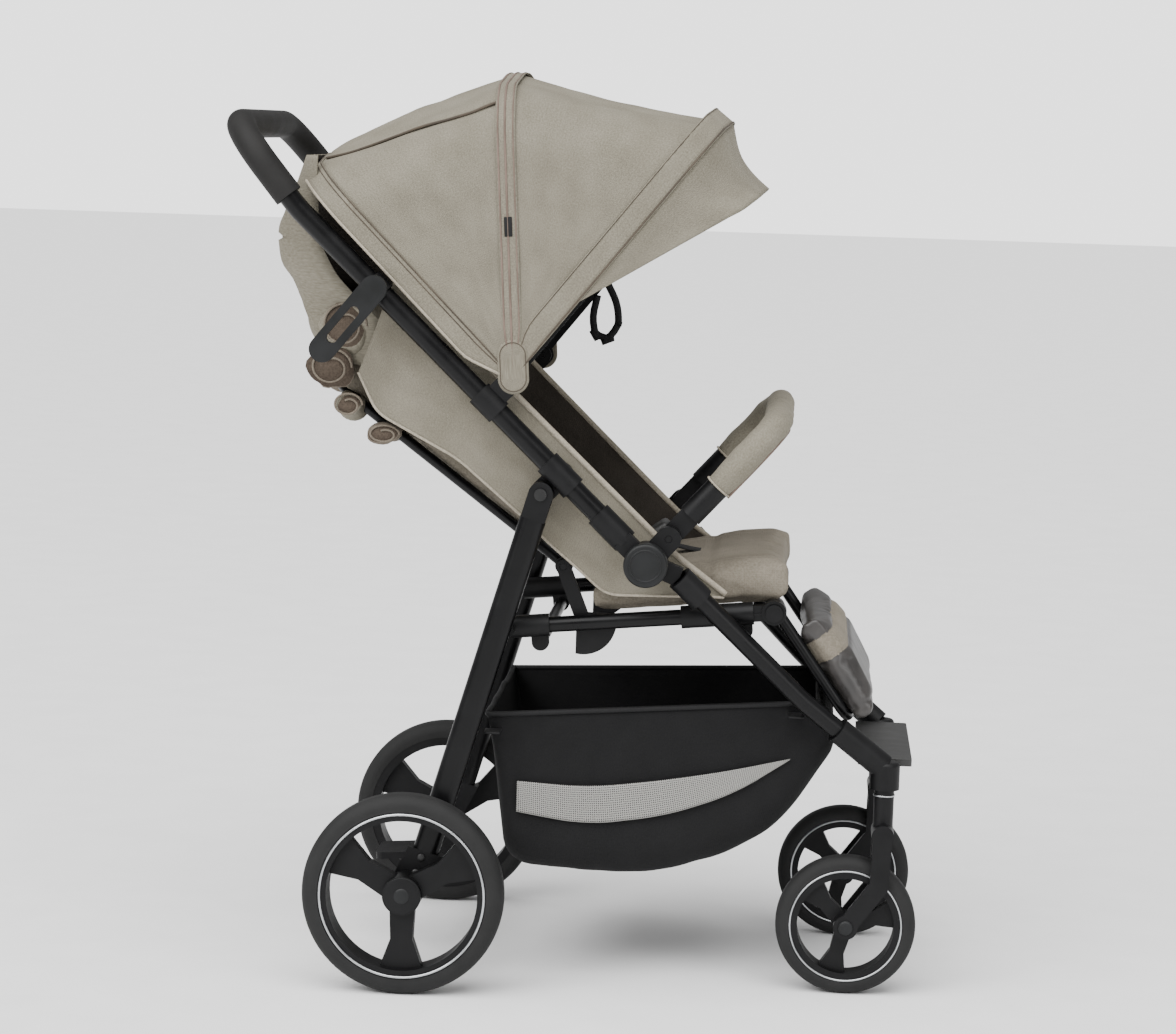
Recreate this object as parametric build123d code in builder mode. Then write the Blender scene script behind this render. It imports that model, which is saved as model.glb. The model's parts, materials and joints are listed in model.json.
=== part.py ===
from build123d import *

import os
from math import atan2, cos, degrees, hypot, radians, sin, tan

os.makedirs("parts", exist_ok=True)

# ---------------------------------------------------------------------------
# A folding baby stroller, in millimetres, +Z up, facing +X.
# Side-view points are (x, z): x is forward from the rear axle, z is up from the floor.
# The finished frame has its origin on the floor, in the middle of the stroller.
# The right side is the -Y side.
# ---------------------------------------------------------------------------

SIDES = {"right": -1, "left": 1}

# Running clearances
FACE_GAP = 0.3  # between flat faces that slide past each other
PIN_GAP = 0.3  # round a pin that turns in a hole
SEAT_GAP = 0.1  # round a tube that is held in a sleeve
SOFT_GAP = 0.3  # between a soft piece and what carries it

# Wheels
WHEELBASE = 502.4
REAR_WHEEL_RADIUS = 115
REAR_WHEEL_WIDTH = 38
REAR_TYRE_DEPTH = 19
REAR_WHEEL_GAP = 3
FRONT_WHEEL_RADIUS = 80.6
FRONT_WHEEL_WIDTH = 32
FRONT_TYRE_DEPTH = 15
RIM_WALL = 10
HUB_FLOOR = 5
SPOKE_SHARE = 0.22  # half a spoke's thickness, of the wheel's width
TYRE_ROUND = 0.36  # of the wheel's width
SPOKES = 3
REAR_SPOKE_WIDTH = 30
FRONT_SPOKE_WIDTH = 20
REAR_HUB_RADIUS = 22
FRONT_HUB_RADIUS = 14
REAR_SPOKE_START = 30
FRONT_SPOKE_START = 15

# Main side-view points of the frame
FOLD_PIVOT = (262, 498)
LEG_TOP = (300, 483)
LEG_BEND = (445, 341)
LEG_END = (512, 287)
STEM_TOP = (541, 272)
REAR_PIVOT = (141, 572)
RAIL_REAR = (98.5, 413)
RAIL_FRONT = (407.6, 443)
SEAT_PIVOT_X = 341
BACK_PIVOT = (165, 484)
BUMPER_PIVOT = (286, 526)
CANOPY_PIVOT = (106.5, 701)
HOOK_ALONG = 433  # along the push tube, from the fold pivot

# Distances from the middle plane
PIVOT_HALF = 212
STEM_HALF = 148
RAIL_HALF = 172
BACK_HALF = 140
LEGREST_HALF = 138
BUMPER_HALF = 190
SEAT_HALF = 150
SEAT_PAD_HALF = 171

# Tubes
PUSH_TUBE = 24
FRONT_TUBE = 22
RAIL_TUBE = 18
BACK_TUBE = 12
LEGREST_TUBE = 14
BUMPER_TUBE = 20
CROSS_TUBE = 14
TUBE_WALL = 2
SLEEVE_WALL = 4
REAR_LEG_WIDTH = 30
REAR_LEG_DEPTH = 20

# Push tube and handle
PUSH_ANGLE = 136.3
PUSH_LENGTH = 557
HANDLE_ANGLE = 129
HANDLE_LENGTH = 119
HANDLE_BEND = 62
GRIP_OUTER = 33
GRIP_START = 8

# Fold hub
HUB_RADIUS = 24
HUB_INNER = 198
HUB_OUTER = 226
CAP_RADIUS = 25
CAP_THICKNESS = 14
CAP_ROUND = 4
HUB_PIN = 12
HUB_SLEEVE_START = 34
HUB_SLEEVE_LENGTH = 44
LEG_SLEEVE_LENGTH = 36

# Rear leg
LEG_PIN = 8
RIVET_HEAD = 2
KNUCKLE_RADIUS = 14
KNUCKLE_LENGTH = 30
LUG_THICKNESS = 7.7
REAR_LEG_LENGTH = 430
AXLE = 20
STUB_AXLE = 10
HOUSING_WIDTH = 40

# Front stem, fork and footrest
STEM_LENGTH = 32
STEM_OUTER = 34
STEM_PIN = 10
STEM_ROUND = 5
STEM_ROOF = 8  # solid above the stem pin's hole
KNUCKLE_REACH = 34
FORK_STEM = 23
FORK_STEM_BOTTOM = 188
FORK_ELBOW = 130
FORK_ARM = 6
FORK_ARM_WIDTH = 22
FORK_GAP = 2.5
FRONT_AXLE = 10
FOOTREST_LENGTH = 62
FOOTREST_THICKNESS = 8
FOOTREST_HALF = 126

# Seat
SEAT_FRONT_X = 431
SEAT_REAR_X = 196
SEAT_FRONT_THICKNESS = 42
SEAT_REAR_THICKNESS = 22
CROSSBAR_DROP = 20
CROSSBAR_REAR_X = 140
CROSSBAR_FRONT_X = 372
SLEEVE_FROM_X = 302
SLEEVE_TO_X = 384
BRACKET_THICKNESS = 10
QUADRANT_RADIUS = 38
SEAT_BOSS_RADIUS = 9
REAR_FITTING_LENGTH = 58
REAR_LUG_INSET = 6
CROSSBAR_PLATE = 20
BRACKET_WIDTH = 16

# Backrest
BACK_ANGLE = 143.5
BACK_LENGTH = 335
BACK_BEND = 45
BACK_PAD_THICKNESS = 34
BACK_PAD_START = 24
BACK_PAD_END = BACK_LENGTH + 10
BACK_BOSS_RADIUS = 10
BACK_TUBE_START = 6
PAD_ROUND = 12

# Leg rest
LEGREST_ANGLE = -54.5
LEGREST_LENGTH = 152
LEGREST_BEND = 24
LEGREST_PAD_THICKNESS = 34
LEGREST_PAD_OVERHANG = 16
LEGREST_PAD_START = 29
LEGREST_PAD_CROWN = 80  # where the pad is thickest
LEGREST_PAD_NOSE = 24
LEGREST_PAD_HEEL = 26
LEGREST_TUBE_START = 6
LEGREST_PAD_ROUND = 8
BUTTON_RADIUS = 10
BUTTON_TRAVEL = 4
BUTTON_LENGTH = 7
BOSS_RADIUS = 14

# Bumper bar
BUMPER_ANGLE = 48
BUMPER_LENGTH = 177
BUMPER_BEND = 60
BUMPER_ARM_LENGTH = 78
BUMPER_ARM_OUTER = 28
BUMPER_ARM_THICKNESS = 12
BUMPER_COVER_OUTER = 33
BUMPER_TUBE_START = 34

# Canopy
RIB_WIDTH = 8
RIB_TUCK = 2.4  # room for a flat rib's edges under the sloping fabric
RIB_EYE_RADIUS = 11
RIB_EYE = 3
CANOPY_WALL = 2
CANOPY_START = 30
CANOPY_CORNER = 70
CANOPY_CROWN = 380
CANOPY_PIN = 6
REAR_RIB = (134.8, 322, 344)  # angle, radius at the side, radius at the crown
MID_RIB = (93.6, 321, 346)
FRONT_RIB = (51.6, 357, 375)
VISOR_EDGE = (38.2, 340, 353)
CURTAIN_HALF = 186
CURTAIN_WALL = 3

# Basket
BASKET_WALL = 3
BASKET_REAR_HALF = 178
BASKET_FRONT_HALF = 126

# Hook
HOOK_LENGTH = 104
HOOK_WIDTH = 30
HOOK_ANGLE = 231
HOOK_SLOT_LENGTH = 50
HOOK_SLOT_WIDTH = 12
HOOK_THICKNESS = 6

# Brake pedal
PEDAL_HALF = 34
PEDAL_REACH = 58
PEDAL_THICKNESS = 8
PEDAL_ANGLE = 184


# ---------------------------------------------------------------------------
# Side-view geometry
# ---------------------------------------------------------------------------


def along(start, angle, distance):
    """The side-view point that lies a distance from start, at an angle up from +X."""
    return (start[0] + distance * cos(radians(angle)), start[1] + distance * sin(radians(angle)))


def angle_of(start, end):
    """The angle up from +X of the line from start to end."""
    return degrees(atan2(end[1] - start[1], end[0] - start[0]))


def span(start, end):
    """The length of the line from start to end."""
    return hypot(end[0] - start[0], end[1] - start[1])


def between(start, end, share):
    """The point at a share of the way from start to end."""
    return (start[0] + share * (end[0] - start[0]), start[1] + share * (end[1] - start[1]))


HANDLE_END = along(FOLD_PIVOT, PUSH_ANGLE, PUSH_LENGTH)
HANDLE_TOP = along(HANDLE_END, HANDLE_ANGLE, HANDLE_LENGTH)
FRONT_REACH = WHEELBASE + FRONT_WHEEL_RADIUS
REAR_REACH = HANDLE_TOP[0] - GRIP_OUTER / 2
MIDDLE_X = (FRONT_REACH + REAR_REACH) / 2

REAR_AXLE = (0, REAR_WHEEL_RADIUS)
FRONT_AXLE_POINT = (WHEELBASE, FRONT_WHEEL_RADIUS)
RAIL_ANGLE = angle_of(RAIL_REAR, RAIL_FRONT)


def on_rail(x, lift=0):
    """A point of the seat rail at x, lifted square to the rail."""
    share = (x - RAIL_REAR[0]) / (RAIL_FRONT[0] - RAIL_REAR[0])
    return along(between(RAIL_REAR, RAIL_FRONT, share), RAIL_ANGLE + 90, lift)


SEAT_PIVOT = on_rail(SEAT_PIVOT_X)


def front_leg_half(x):
    """The front leg's distance from the middle plane: the legs come together towards the front."""
    share = (x - LEG_TOP[0]) / (STEM_TOP[0] - LEG_TOP[0])
    return PIVOT_HALF + share * (STEM_HALF - PIVOT_HALF)


def flat(point):
    """A side-view point in a side-view sketch of the finished frame."""
    return (point[0] - MIDDLE_X, point[1])


def at(point, y):
    """A side-view point, placed at y from the middle plane of the finished frame."""
    return (point[0] - MIDDLE_X, y, point[1])


def layer(y):
    """A side-view sketching plane at y, with +X to the right and +Z up."""
    return Plane(origin=(0, y, 0), x_dir=(1, 0, 0), z_dir=(0, -1, 0))


def cross_plane(point, y, angle):
    """A plane square to a side-view line at a point; its own x is along Y."""
    return Plane(
        origin=at(point, y),
        x_dir=(0, 1, 0),
        z_dir=(cos(radians(angle)), 0, sin(radians(angle))),
    )


def link(start, end, width):
    """Draws a round-ended bar in a side-view sketch."""
    with Locations(flat(between(start, end, 0.5))):
        SlotCenterToCenter(span(start, end), width, rotation=angle_of(start, end))


def bar(start, end, width):
    """Draws a square-ended bar in a side-view sketch."""
    with Locations(flat(between(start, end, 0.5))):
        Rectangle(span(start, end), width, rotation=angle_of(start, end))


def disc(point, radius, mode=Mode.ADD):
    """Draws a disc in a side-view sketch."""
    with Locations(flat(point)):
        Circle(radius, mode=mode)


def outward(side, inner, outer):
    """The extrusion that carries a sketch at inner out to outer, on one side of the stroller."""
    return -side * (outer - inner)


def bent_tube(points, bend, outer, bore=0):
    """A round tube along straight runs joined by arcs."""
    with BuildPart() as piece:
        with BuildLine() as path:
            if len(points) > 2:
                FilletPolyline(*points, radius=bend)
            else:
                Line(*points)
        for run in path.edges():
            with BuildSketch(run ^ 0) as ring:
                Circle(outer / 2)
                if bore:
                    Circle(bore / 2, mode=Mode.SUBTRACT)
            if run.geom_type == GeomType.LINE:
                extrude(ring.sketch, amount=run.length)
            else:
                sweep(ring.sketch, path=run)
    return piece.part


def save(part, name):
    """Labels a finished piece and writes it."""
    part.label = name
    export_step(part, f"parts/{name}.step")


# ---------------------------------------------------------------------------
# Front frame: the two front legs with the lower halves of the fold hubs
# ---------------------------------------------------------------------------

HUB_SPLIT = PIVOT_HALF
FRONT_LEG_BEND = 260

for side_name, side in SIDES.items():
    leg_line = (LEG_TOP, LEG_BEND, LEG_END)
    leg_points = [at(point, side * front_leg_half(point[0])) for point in leg_line]
    front_leg = bent_tube(leg_points, FRONT_LEG_BEND, FRONT_TUBE, FRONT_TUBE - 2 * TUBE_WALL)
    save(front_leg, f"front_leg_{side_name}")

    top, bend, end = (Vector(*point) for point in leg_points)
    upper_run = Plane(origin=top, z_dir=bend - top)
    lower_run = Plane(origin=end, z_dir=bend - end)

    with BuildPart() as hub_lower:
        with BuildSketch(layer(side * HUB_INNER)):
            disc(FOLD_PIVOT, HUB_RADIUS)
            bar(FOLD_PIVOT, LEG_TOP, FRONT_TUBE)
            link(FOLD_PIVOT, BUMPER_PIVOT, 2 * BOSS_RADIUS)
        extrude(amount=outward(side, HUB_INNER, HUB_SPLIT - FACE_GAP / 2))
        with BuildSketch(upper_run):
            Circle(FRONT_TUBE / 2 + SLEEVE_WALL)
        extrude(amount=LEG_SLEEVE_LENGTH)
        with BuildSketch(upper_run):
            Circle(FRONT_TUBE / 2 + SEAT_GAP)
        extrude(amount=LEG_SLEEVE_LENGTH, mode=Mode.SUBTRACT)
        with BuildSketch(layer(side * HUB_INNER)):
            disc(FOLD_PIVOT, HUB_PIN / 2 + PIN_GAP)
            disc(BUMPER_PIVOT, LEG_PIN / 2 + PIN_GAP)
        extrude(amount=outward(side, HUB_INNER, HUB_SPLIT), mode=Mode.SUBTRACT)
    save(hub_lower.part, f"hub_lower_{side_name}")

    with BuildPart() as front_knuckle:
        with BuildSketch(Plane(origin=at(STEM_TOP, side * STEM_HALF), z_dir=(0, 0, -1))):
            Circle(STEM_OUTER / 2)
        extrude(amount=STEM_LENGTH)
        fillet(front_knuckle.edges().sort_by(Axis.Z)[-1], STEM_ROUND)
        with BuildSketch(lower_run.offset(-KNUCKLE_REACH)):
            Circle(FRONT_TUBE / 2 + SLEEVE_WALL)
        extrude(amount=KNUCKLE_REACH + LEG_SLEEVE_LENGTH)
        with BuildSketch(lower_run):
            Circle(FRONT_TUBE / 2 + SEAT_GAP)
        extrude(amount=LEG_SLEEVE_LENGTH + STEM_OUTER, mode=Mode.SUBTRACT)
        stem_foot = Plane(origin=at((STEM_TOP[0], STEM_TOP[1] - STEM_LENGTH), side * STEM_HALF))
        with BuildSketch(stem_foot):
            Circle(STEM_PIN / 2 + PIN_GAP)
        extrude(amount=STEM_LENGTH - STEM_ROOF, mode=Mode.SUBTRACT)
        # Level the sleeve off at the stem's foot
        with BuildSketch(stem_foot):
            Rectangle(4 * LEG_SLEEVE_LENGTH, 4 * LEG_SLEEVE_LENGTH)
        extrude(amount=-STEM_LENGTH, mode=Mode.SUBTRACT)
    save(front_knuckle.part, f"front_knuckle_{side_name}")

CROSS_POINT = (STEM_TOP[0], STEM_TOP[1] - STEM_LENGTH / 2)
CROSS_HALF = STEM_HALF - STEM_OUTER / 2 + 3

with BuildPart() as front_cross_tube:
    with BuildSketch(layer(0)):
        disc(CROSS_POINT, CROSS_TUBE / 2)
        disc(CROSS_POINT, CROSS_TUBE / 2 - TUBE_WALL, mode=Mode.SUBTRACT)
    extrude(amount=CROSS_HALF, both=True)
    for side in SIDES.values():
        with BuildSketch(Plane(origin=at((STEM_TOP[0], 0), side * STEM_HALF))):
            Circle(STEM_OUTER / 2)
        extrude(amount=STEM_TOP[1], mode=Mode.SUBTRACT)
save(front_cross_tube.part, "front_cross_tube")

FOOTREST_TOP = CROSS_POINT[1] + CROSS_TUBE / 2 + FOOTREST_THICKNESS

with BuildPart() as footrest:
    with BuildSketch(layer(0)):
        with Locations(flat((CROSS_POINT[0], FOOTREST_TOP - FOOTREST_THICKNESS / 2))):
            Rectangle(FOOTREST_LENGTH, FOOTREST_THICKNESS)
        with Locations(flat(CROSS_POINT)):
            Circle(CROSS_TUBE / 2 + SLEEVE_WALL)
            Circle(CROSS_TUBE / 2 + SEAT_GAP, mode=Mode.SUBTRACT)
    extrude(amount=FOOTREST_HALF, both=True)
    fillet(footrest.edges().filter_by(Axis.Z).group_by(Axis.Z)[-1], 3)
save(footrest.part, "footrest")

# Basket: a fabric tub open at the top, with loops to the four legs
BASKET_PROFILE = [(84, 312), (107, 132), (243, 122), (335, 140), (424, 187), (492, 292), (462, 336)]
BASKET_REAR_X = BASKET_PROFILE[0][0]
BASKET_FRONT_X = BASKET_PROFILE[5][0]
LOOP_FRONT = (437, 322)
LOOP_REAR = (92, 296)
LOOP_SIZE = 18
BASKET_SPARE = 5  # the plan outline runs past the side view's ends

with BuildPart() as basket:
    with BuildSketch(layer(0)):
        with BuildLine():
            Polyline(*[flat(point) for point in BASKET_PROFILE], close=True)
        make_face()
    extrude(amount=BASKET_REAR_HALF, both=True)
    with BuildSketch(Plane.XY):
        with BuildLine():
            Polyline(
                (BASKET_REAR_X - MIDDLE_X - BASKET_SPARE, -BASKET_REAR_HALF),
                (BASKET_FRONT_X - MIDDLE_X + BASKET_SPARE, -BASKET_FRONT_HALF),
                (BASKET_FRONT_X - MIDDLE_X + BASKET_SPARE, BASKET_FRONT_HALF),
                (BASKET_REAR_X - MIDDLE_X - BASKET_SPARE, BASKET_REAR_HALF),
                close=True,
            )
        make_face()
    extrude(amount=LEG_TOP[1], mode=Mode.INTERSECT)
    rim = angle_of(BASKET_PROFILE[0], BASKET_PROFILE[-1]) + 90
    mouth = basket.faces().filter_by(
        lambda face: face.normal_at().dot(Vector(cos(radians(rim)), 0, sin(radians(rim)))) > 0.99
    )
    offset(amount=-BASKET_WALL, openings=mouth)
    for side in SIDES.values():
        front_inner = front_leg_half(LOOP_FRONT[0]) - FRONT_TUBE / 2 - 2
        rear_inner = PIVOT_HALF - REAR_LEG_DEPTH / 2
        for point, reach, start in (
            (LOOP_FRONT, front_inner, BASKET_FRONT_HALF + 7.5),
            (LOOP_REAR, rear_inner - SOFT_GAP, BASKET_REAR_HALF - 4),
        ):
            with BuildSketch(layer(side * start)):
                with Locations(flat(point)):
                    Rectangle(LOOP_SIZE, LOOP_SIZE)
            extrude(amount=outward(side, start, reach))
save(basket.part, "basket")

# ---------------------------------------------------------------------------
# Push frame: the push tube, its handle and what is fixed to it
# ---------------------------------------------------------------------------

PUSH_START = along(FOLD_PIVOT, PUSH_ANGLE, HUB_SLEEVE_START + 2)

handle_half = [at(PUSH_START, -PIVOT_HALF), at(HANDLE_END, -PIVOT_HALF), at(HANDLE_TOP, -PIVOT_HALF)]
handle_mirror = [(x, -y, z) for x, y, z in reversed(handle_half)]
PUSH_BEND = 150
HANDLE_KINK = PUSH_ANGLE - HANDLE_ANGLE
BEND_REACH = PUSH_BEND * tan(radians(HANDLE_KINK / 2))  # from the handle's kink to its arc's end
push_bends = [PUSH_BEND, HANDLE_BEND, HANDLE_BEND, PUSH_BEND]
push_tube = bent_tube(
    handle_half + handle_mirror, push_bends, PUSH_TUBE, PUSH_TUBE - 2 * TUBE_WALL
)
save(push_tube, "push_tube")

grip_start = along(HANDLE_END, HANDLE_ANGLE, GRIP_START + BEND_REACH)
grip_half = [at(grip_start, -PIVOT_HALF), at(HANDLE_TOP, -PIVOT_HALF)]
grip_mirror = [(x, -y, z) for x, y, z in reversed(grip_half)]
handle_grip = bent_tube(grip_half + grip_mirror, HANDLE_BEND, GRIP_OUTER, PUSH_TUBE + 2 * SEAT_GAP)
save(handle_grip, "handle_grip")


def push_point(distance, lift=0):
    """A point of the push tube at a distance from the fold pivot, lifted square to the tube."""
    return along(along(FOLD_PIVOT, PUSH_ANGLE, distance), PUSH_ANGLE - 90, lift)


def push_distance(point):
    """How far along the push tube a side-view point lies from the fold pivot."""
    turn = radians(angle_of(FOLD_PIVOT, point) - PUSH_ANGLE)
    return span(FOLD_PIVOT, point) * cos(turn)


def push_sleeve(side, start, length, wall):
    """Adds a sleeve round one side of the push tube; the bore is cut by push_bore."""
    with BuildSketch(cross_plane(push_point(start), side * PIVOT_HALF, PUSH_ANGLE)) as ring:
        Circle(PUSH_TUBE / 2 + wall)
    extrude(ring.sketch, amount=length)


def push_bore(side, start, length):
    """Cuts the bore for the push tube."""
    with BuildSketch(cross_plane(push_point(start), side * PIVOT_HALF, PUSH_ANGLE)) as bore:
        Circle(PUSH_TUBE / 2 + SEAT_GAP)
    extrude(bore.sketch, amount=length, mode=Mode.SUBTRACT)


BRACKET_LENGTH = 42
BRACKET_START = push_distance(REAR_PIVOT) - BRACKET_LENGTH / 2
KNUCKLE_INNER = PIVOT_HALF - REAR_LEG_DEPTH / 2
KNUCKLE_OUTER = PIVOT_HALF + REAR_LEG_DEPTH / 2
LUG_INNER = KNUCKLE_INNER - FACE_GAP - LUG_THICKNESS

for side_name, side in SIDES.items():
    with BuildPart() as hub_upper:
        with BuildSketch(layer(side * (HUB_SPLIT + FACE_GAP / 2))):
            disc(FOLD_PIVOT, HUB_RADIUS)
            bar(FOLD_PIVOT, push_point(HUB_SLEEVE_START + SLEEVE_WALL), PUSH_TUBE)
        extrude(amount=outward(side, HUB_SPLIT + FACE_GAP / 2, HUB_OUTER))
        push_sleeve(side, HUB_SLEEVE_START, HUB_SLEEVE_LENGTH, SLEEVE_WALL - 1)
        push_bore(side, HUB_SLEEVE_START + 2 - SEAT_GAP, HUB_SLEEVE_LENGTH)
        with BuildSketch(layer(side * HUB_INNER)):
            disc(FOLD_PIVOT, HUB_PIN / 2 + PIN_GAP)
        extrude(amount=outward(side, HUB_INNER, HUB_OUTER), mode=Mode.SUBTRACT)
    save(hub_upper.part, f"hub_upper_{side_name}")

with BuildPart() as leg_brackets:
    for side in SIDES.values():
        push_sleeve(side, BRACKET_START, BRACKET_LENGTH, SLEEVE_WALL - 1)
        with BuildSketch(layer(side * LUG_INNER)):
            link(push_point(push_distance(REAR_PIVOT)), REAR_PIVOT, 2 * KNUCKLE_RADIUS)
        extrude(amount=outward(side, LUG_INNER, LUG_INNER + LUG_THICKNESS))
        push_bore(side, BRACKET_START, BRACKET_LENGTH)
        with BuildSketch(layer(side * LUG_INNER)):
            disc(REAR_PIVOT, LEG_PIN / 2 + SEAT_GAP)
        extrude(amount=outward(side, LUG_INNER, KNUCKLE_INNER), mode=Mode.SUBTRACT)
save(leg_brackets.part, "leg_brackets")

with BuildPart() as hub_caps:
    for side in SIDES.values():
        with BuildSketch(layer(side * HUB_OUTER)):
            disc(FOLD_PIVOT, CAP_RADIUS)
        extrude(amount=outward(side, HUB_OUTER, HUB_OUTER + CAP_THICKNESS))
        with BuildSketch(layer(side * HUB_INNER)):
            disc(FOLD_PIVOT, HUB_PIN / 2)
        extrude(amount=outward(side, HUB_INNER, HUB_OUTER))
    for end in (0, -1):
        circles = hub_caps.edges().filter_by(GeomType.CIRCLE)
        cap_rims = circles.filter_by(lambda edge: edge.radius > CAP_RADIUS - 1)
        fillet(cap_rims.sort_by(Axis.Y)[end], CAP_ROUND)
save(hub_caps.part, "hub_caps")

with BuildPart() as leg_rivets:
    for side in SIDES.values():
        with BuildSketch(layer(side * (LUG_INNER - RIVET_HEAD))):
            disc(REAR_PIVOT, LEG_PIN / 2)
        extrude(amount=outward(side, LUG_INNER - RIVET_HEAD, KNUCKLE_OUTER + FACE_GAP))
        with BuildSketch(layer(side * (KNUCKLE_OUTER + FACE_GAP))):
            disc(REAR_PIVOT, LEG_PIN - 1)
        extrude(amount=outward(side, 0, RIVET_HEAD + 0.5))
        with BuildSketch(layer(side * (LUG_INNER - RIVET_HEAD))):
            disc(REAR_PIVOT, LEG_PIN - 2)
        extrude(amount=outward(side, 0, RIVET_HEAD))
save(leg_rivets.part, "leg_rivets")

# Canopy eyes are stacked from the inside out: rear, middle, front, visor, then the clamp
EYE_STEP = RIB_EYE + FACE_GAP
EYE_START = PIVOT_HALF - PUSH_TUBE / 2
EYE_ORDER = ("rear", "mid", "front", "visor")
EYE_INNER = {name: EYE_START + place * EYE_STEP for place, name in enumerate(EYE_ORDER)}
CLAMP_INNER = EYE_INNER["visor"] + EYE_STEP
CLAMP_THICKNESS = 4
CANOPY_SIDE = CLAMP_INNER + 1
CLAMP_LENGTH = 32
CLAMP_START = push_distance(CANOPY_PIVOT) - CLAMP_LENGTH / 2
COLLAR_LENGTH = 22
COLLAR_START = HOOK_ALONG - COLLAR_LENGTH / 2
HOOK_BOSS = PIVOT_HALF + PUSH_TUBE / 2 + 8  # the outer face of the hook's boss
HOOK_PIN_DEPTH = 5
HOOK_PIVOT = push_point(HOOK_ALONG)

with BuildPart() as tube_clamps:
    for side in SIDES.values():
        push_sleeve(side, CLAMP_START, CLAMP_LENGTH, SLEEVE_WALL - 1)
        with BuildSketch(layer(side * CLAMP_INNER)):
            link(push_point(push_distance(CANOPY_PIVOT)), CANOPY_PIVOT, 2 * RIB_EYE_RADIUS + 4)
        extrude(amount=outward(side, CLAMP_INNER, CLAMP_INNER + CLAMP_THICKNESS))
        push_bore(side, CLAMP_START, CLAMP_LENGTH)
        with BuildSketch(layer(side * (EYE_INNER["rear"] - 1))):
            disc(CANOPY_PIVOT, CANOPY_PIN / 2)
        extrude(amount=outward(side, EYE_INNER["rear"] - 1, CLAMP_INNER))
    push_sleeve(SIDES["right"], COLLAR_START, COLLAR_LENGTH, SLEEVE_WALL - 1)
    with BuildSketch(layer(SIDES["right"] * PIVOT_HALF)):
        disc(HOOK_PIVOT, 10)
    extrude(amount=outward(SIDES["right"], PIVOT_HALF, HOOK_BOSS))
    push_bore(SIDES["right"], COLLAR_START, COLLAR_LENGTH)
    with BuildSketch(layer(SIDES["right"] * HOOK_BOSS)):
        disc(HOOK_PIVOT, LEG_PIN / 2 + PIN_GAP)
    extrude(amount=-outward(SIDES["right"], 0, HOOK_PIN_DEPTH + 1), mode=Mode.SUBTRACT)
save(tube_clamps.part, "tube_clamps")

with BuildPart() as transport_hook:
    hook_plane = layer(SIDES["right"] * (HOOK_BOSS + FACE_GAP))
    with BuildSketch(hook_plane):
        link(HOOK_PIVOT, along(HOOK_PIVOT, HOOK_ANGLE, HOOK_LENGTH - HOOK_WIDTH / 2), HOOK_WIDTH)
        slot_start = along(HOOK_PIVOT, HOOK_ANGLE, 28)
        slot_middle = along(slot_start, HOOK_ANGLE, HOOK_SLOT_LENGTH / 2)
        with Locations(flat(slot_middle)):
            SlotOverall(HOOK_SLOT_LENGTH, HOOK_SLOT_WIDTH, rotation=HOOK_ANGLE, mode=Mode.SUBTRACT)
    extrude(amount=outward(SIDES["right"], 0, HOOK_THICKNESS))
    with BuildSketch(hook_plane):
        disc(HOOK_PIVOT, LEG_PIN / 2)
    extrude(amount=-outward(SIDES["right"], 0, HOOK_PIN_DEPTH))
save(transport_hook.part, "transport_hook")

# Side wings: fabric between the push tube, the backrest and the seat rail
WING_PROFILE = [(-96, 800), (-62, 652), (128, 532), (160, 462), (262, 466), (256, 492), (236, 508)]
WING_WALL = 3
WING_HALF = LUG_INNER - RIVET_HEAD - SOFT_GAP - WING_WALL
with BuildPart() as side_wings:
    for side in SIDES.values():
        with BuildSketch(layer(side * WING_HALF)):
            with BuildLine():
                Polyline(*[flat(point) for point in WING_PROFILE], close=True)
            make_face()
        extrude(amount=outward(side, 0, WING_WALL))
save(side_wings.part, "side_wings")

# ---------------------------------------------------------------------------
# Canopy: ribs on one pivot, with a fabric panel between each two
# ---------------------------------------------------------------------------


def rib_plane(angle):
    """A plane through the canopy pivot's axis: its x is along Y and its y runs out from the axis."""
    return Plane(
        origin=at(CANOPY_PIVOT, 0),
        x_dir=(0, 1, 0),
        z_dir=(-sin(radians(angle)), 0, cos(radians(angle))),
    )


def rib_out(angle):
    """+1 if the rib plane's own y points away from the pivot towards the rib, else -1."""
    direction = Vector(cos(radians(angle)), 0, sin(radians(angle)))
    return 1 if rib_plane(angle).y_dir.dot(direction) > 0 else -1


def arch(rib, half, inset, start):
    """Draws the closed outline of an arch in a rib plane, inset from the canopy's outer face."""
    angle, side_radius, crown_radius = rib
    out = rib_out(angle)
    points = [
        (-half, out * start),
        (-half, out * (side_radius - inset)),
        (0, out * (crown_radius - inset)),
        (half, out * (side_radius - inset)),
        (half, out * start),
    ]
    with BuildLine() as outline:
        FilletPolyline(*points, radius=[CANOPY_CORNER, CANOPY_CROWN, CANOPY_CORNER])
        Line(points[-1], points[0])
    make_face(outline.edges())


def canopy_panel(rear, front):
    """A fabric shell between two ribs."""
    with BuildPart() as panel:
        for rib in (rear, front):
            with BuildSketch(rib_plane(rib[0])):
                arch(rib, CANOPY_SIDE + CANOPY_WALL, 0, CANOPY_START)
        loft(ruled=True)
        for rib in (rear, front):
            with BuildSketch(rib_plane(rib[0])):
                arch(rib, CANOPY_SIDE, CANOPY_WALL, CANOPY_START - 8)
        loft(ruled=True, mode=Mode.SUBTRACT)
    return panel.part


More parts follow.
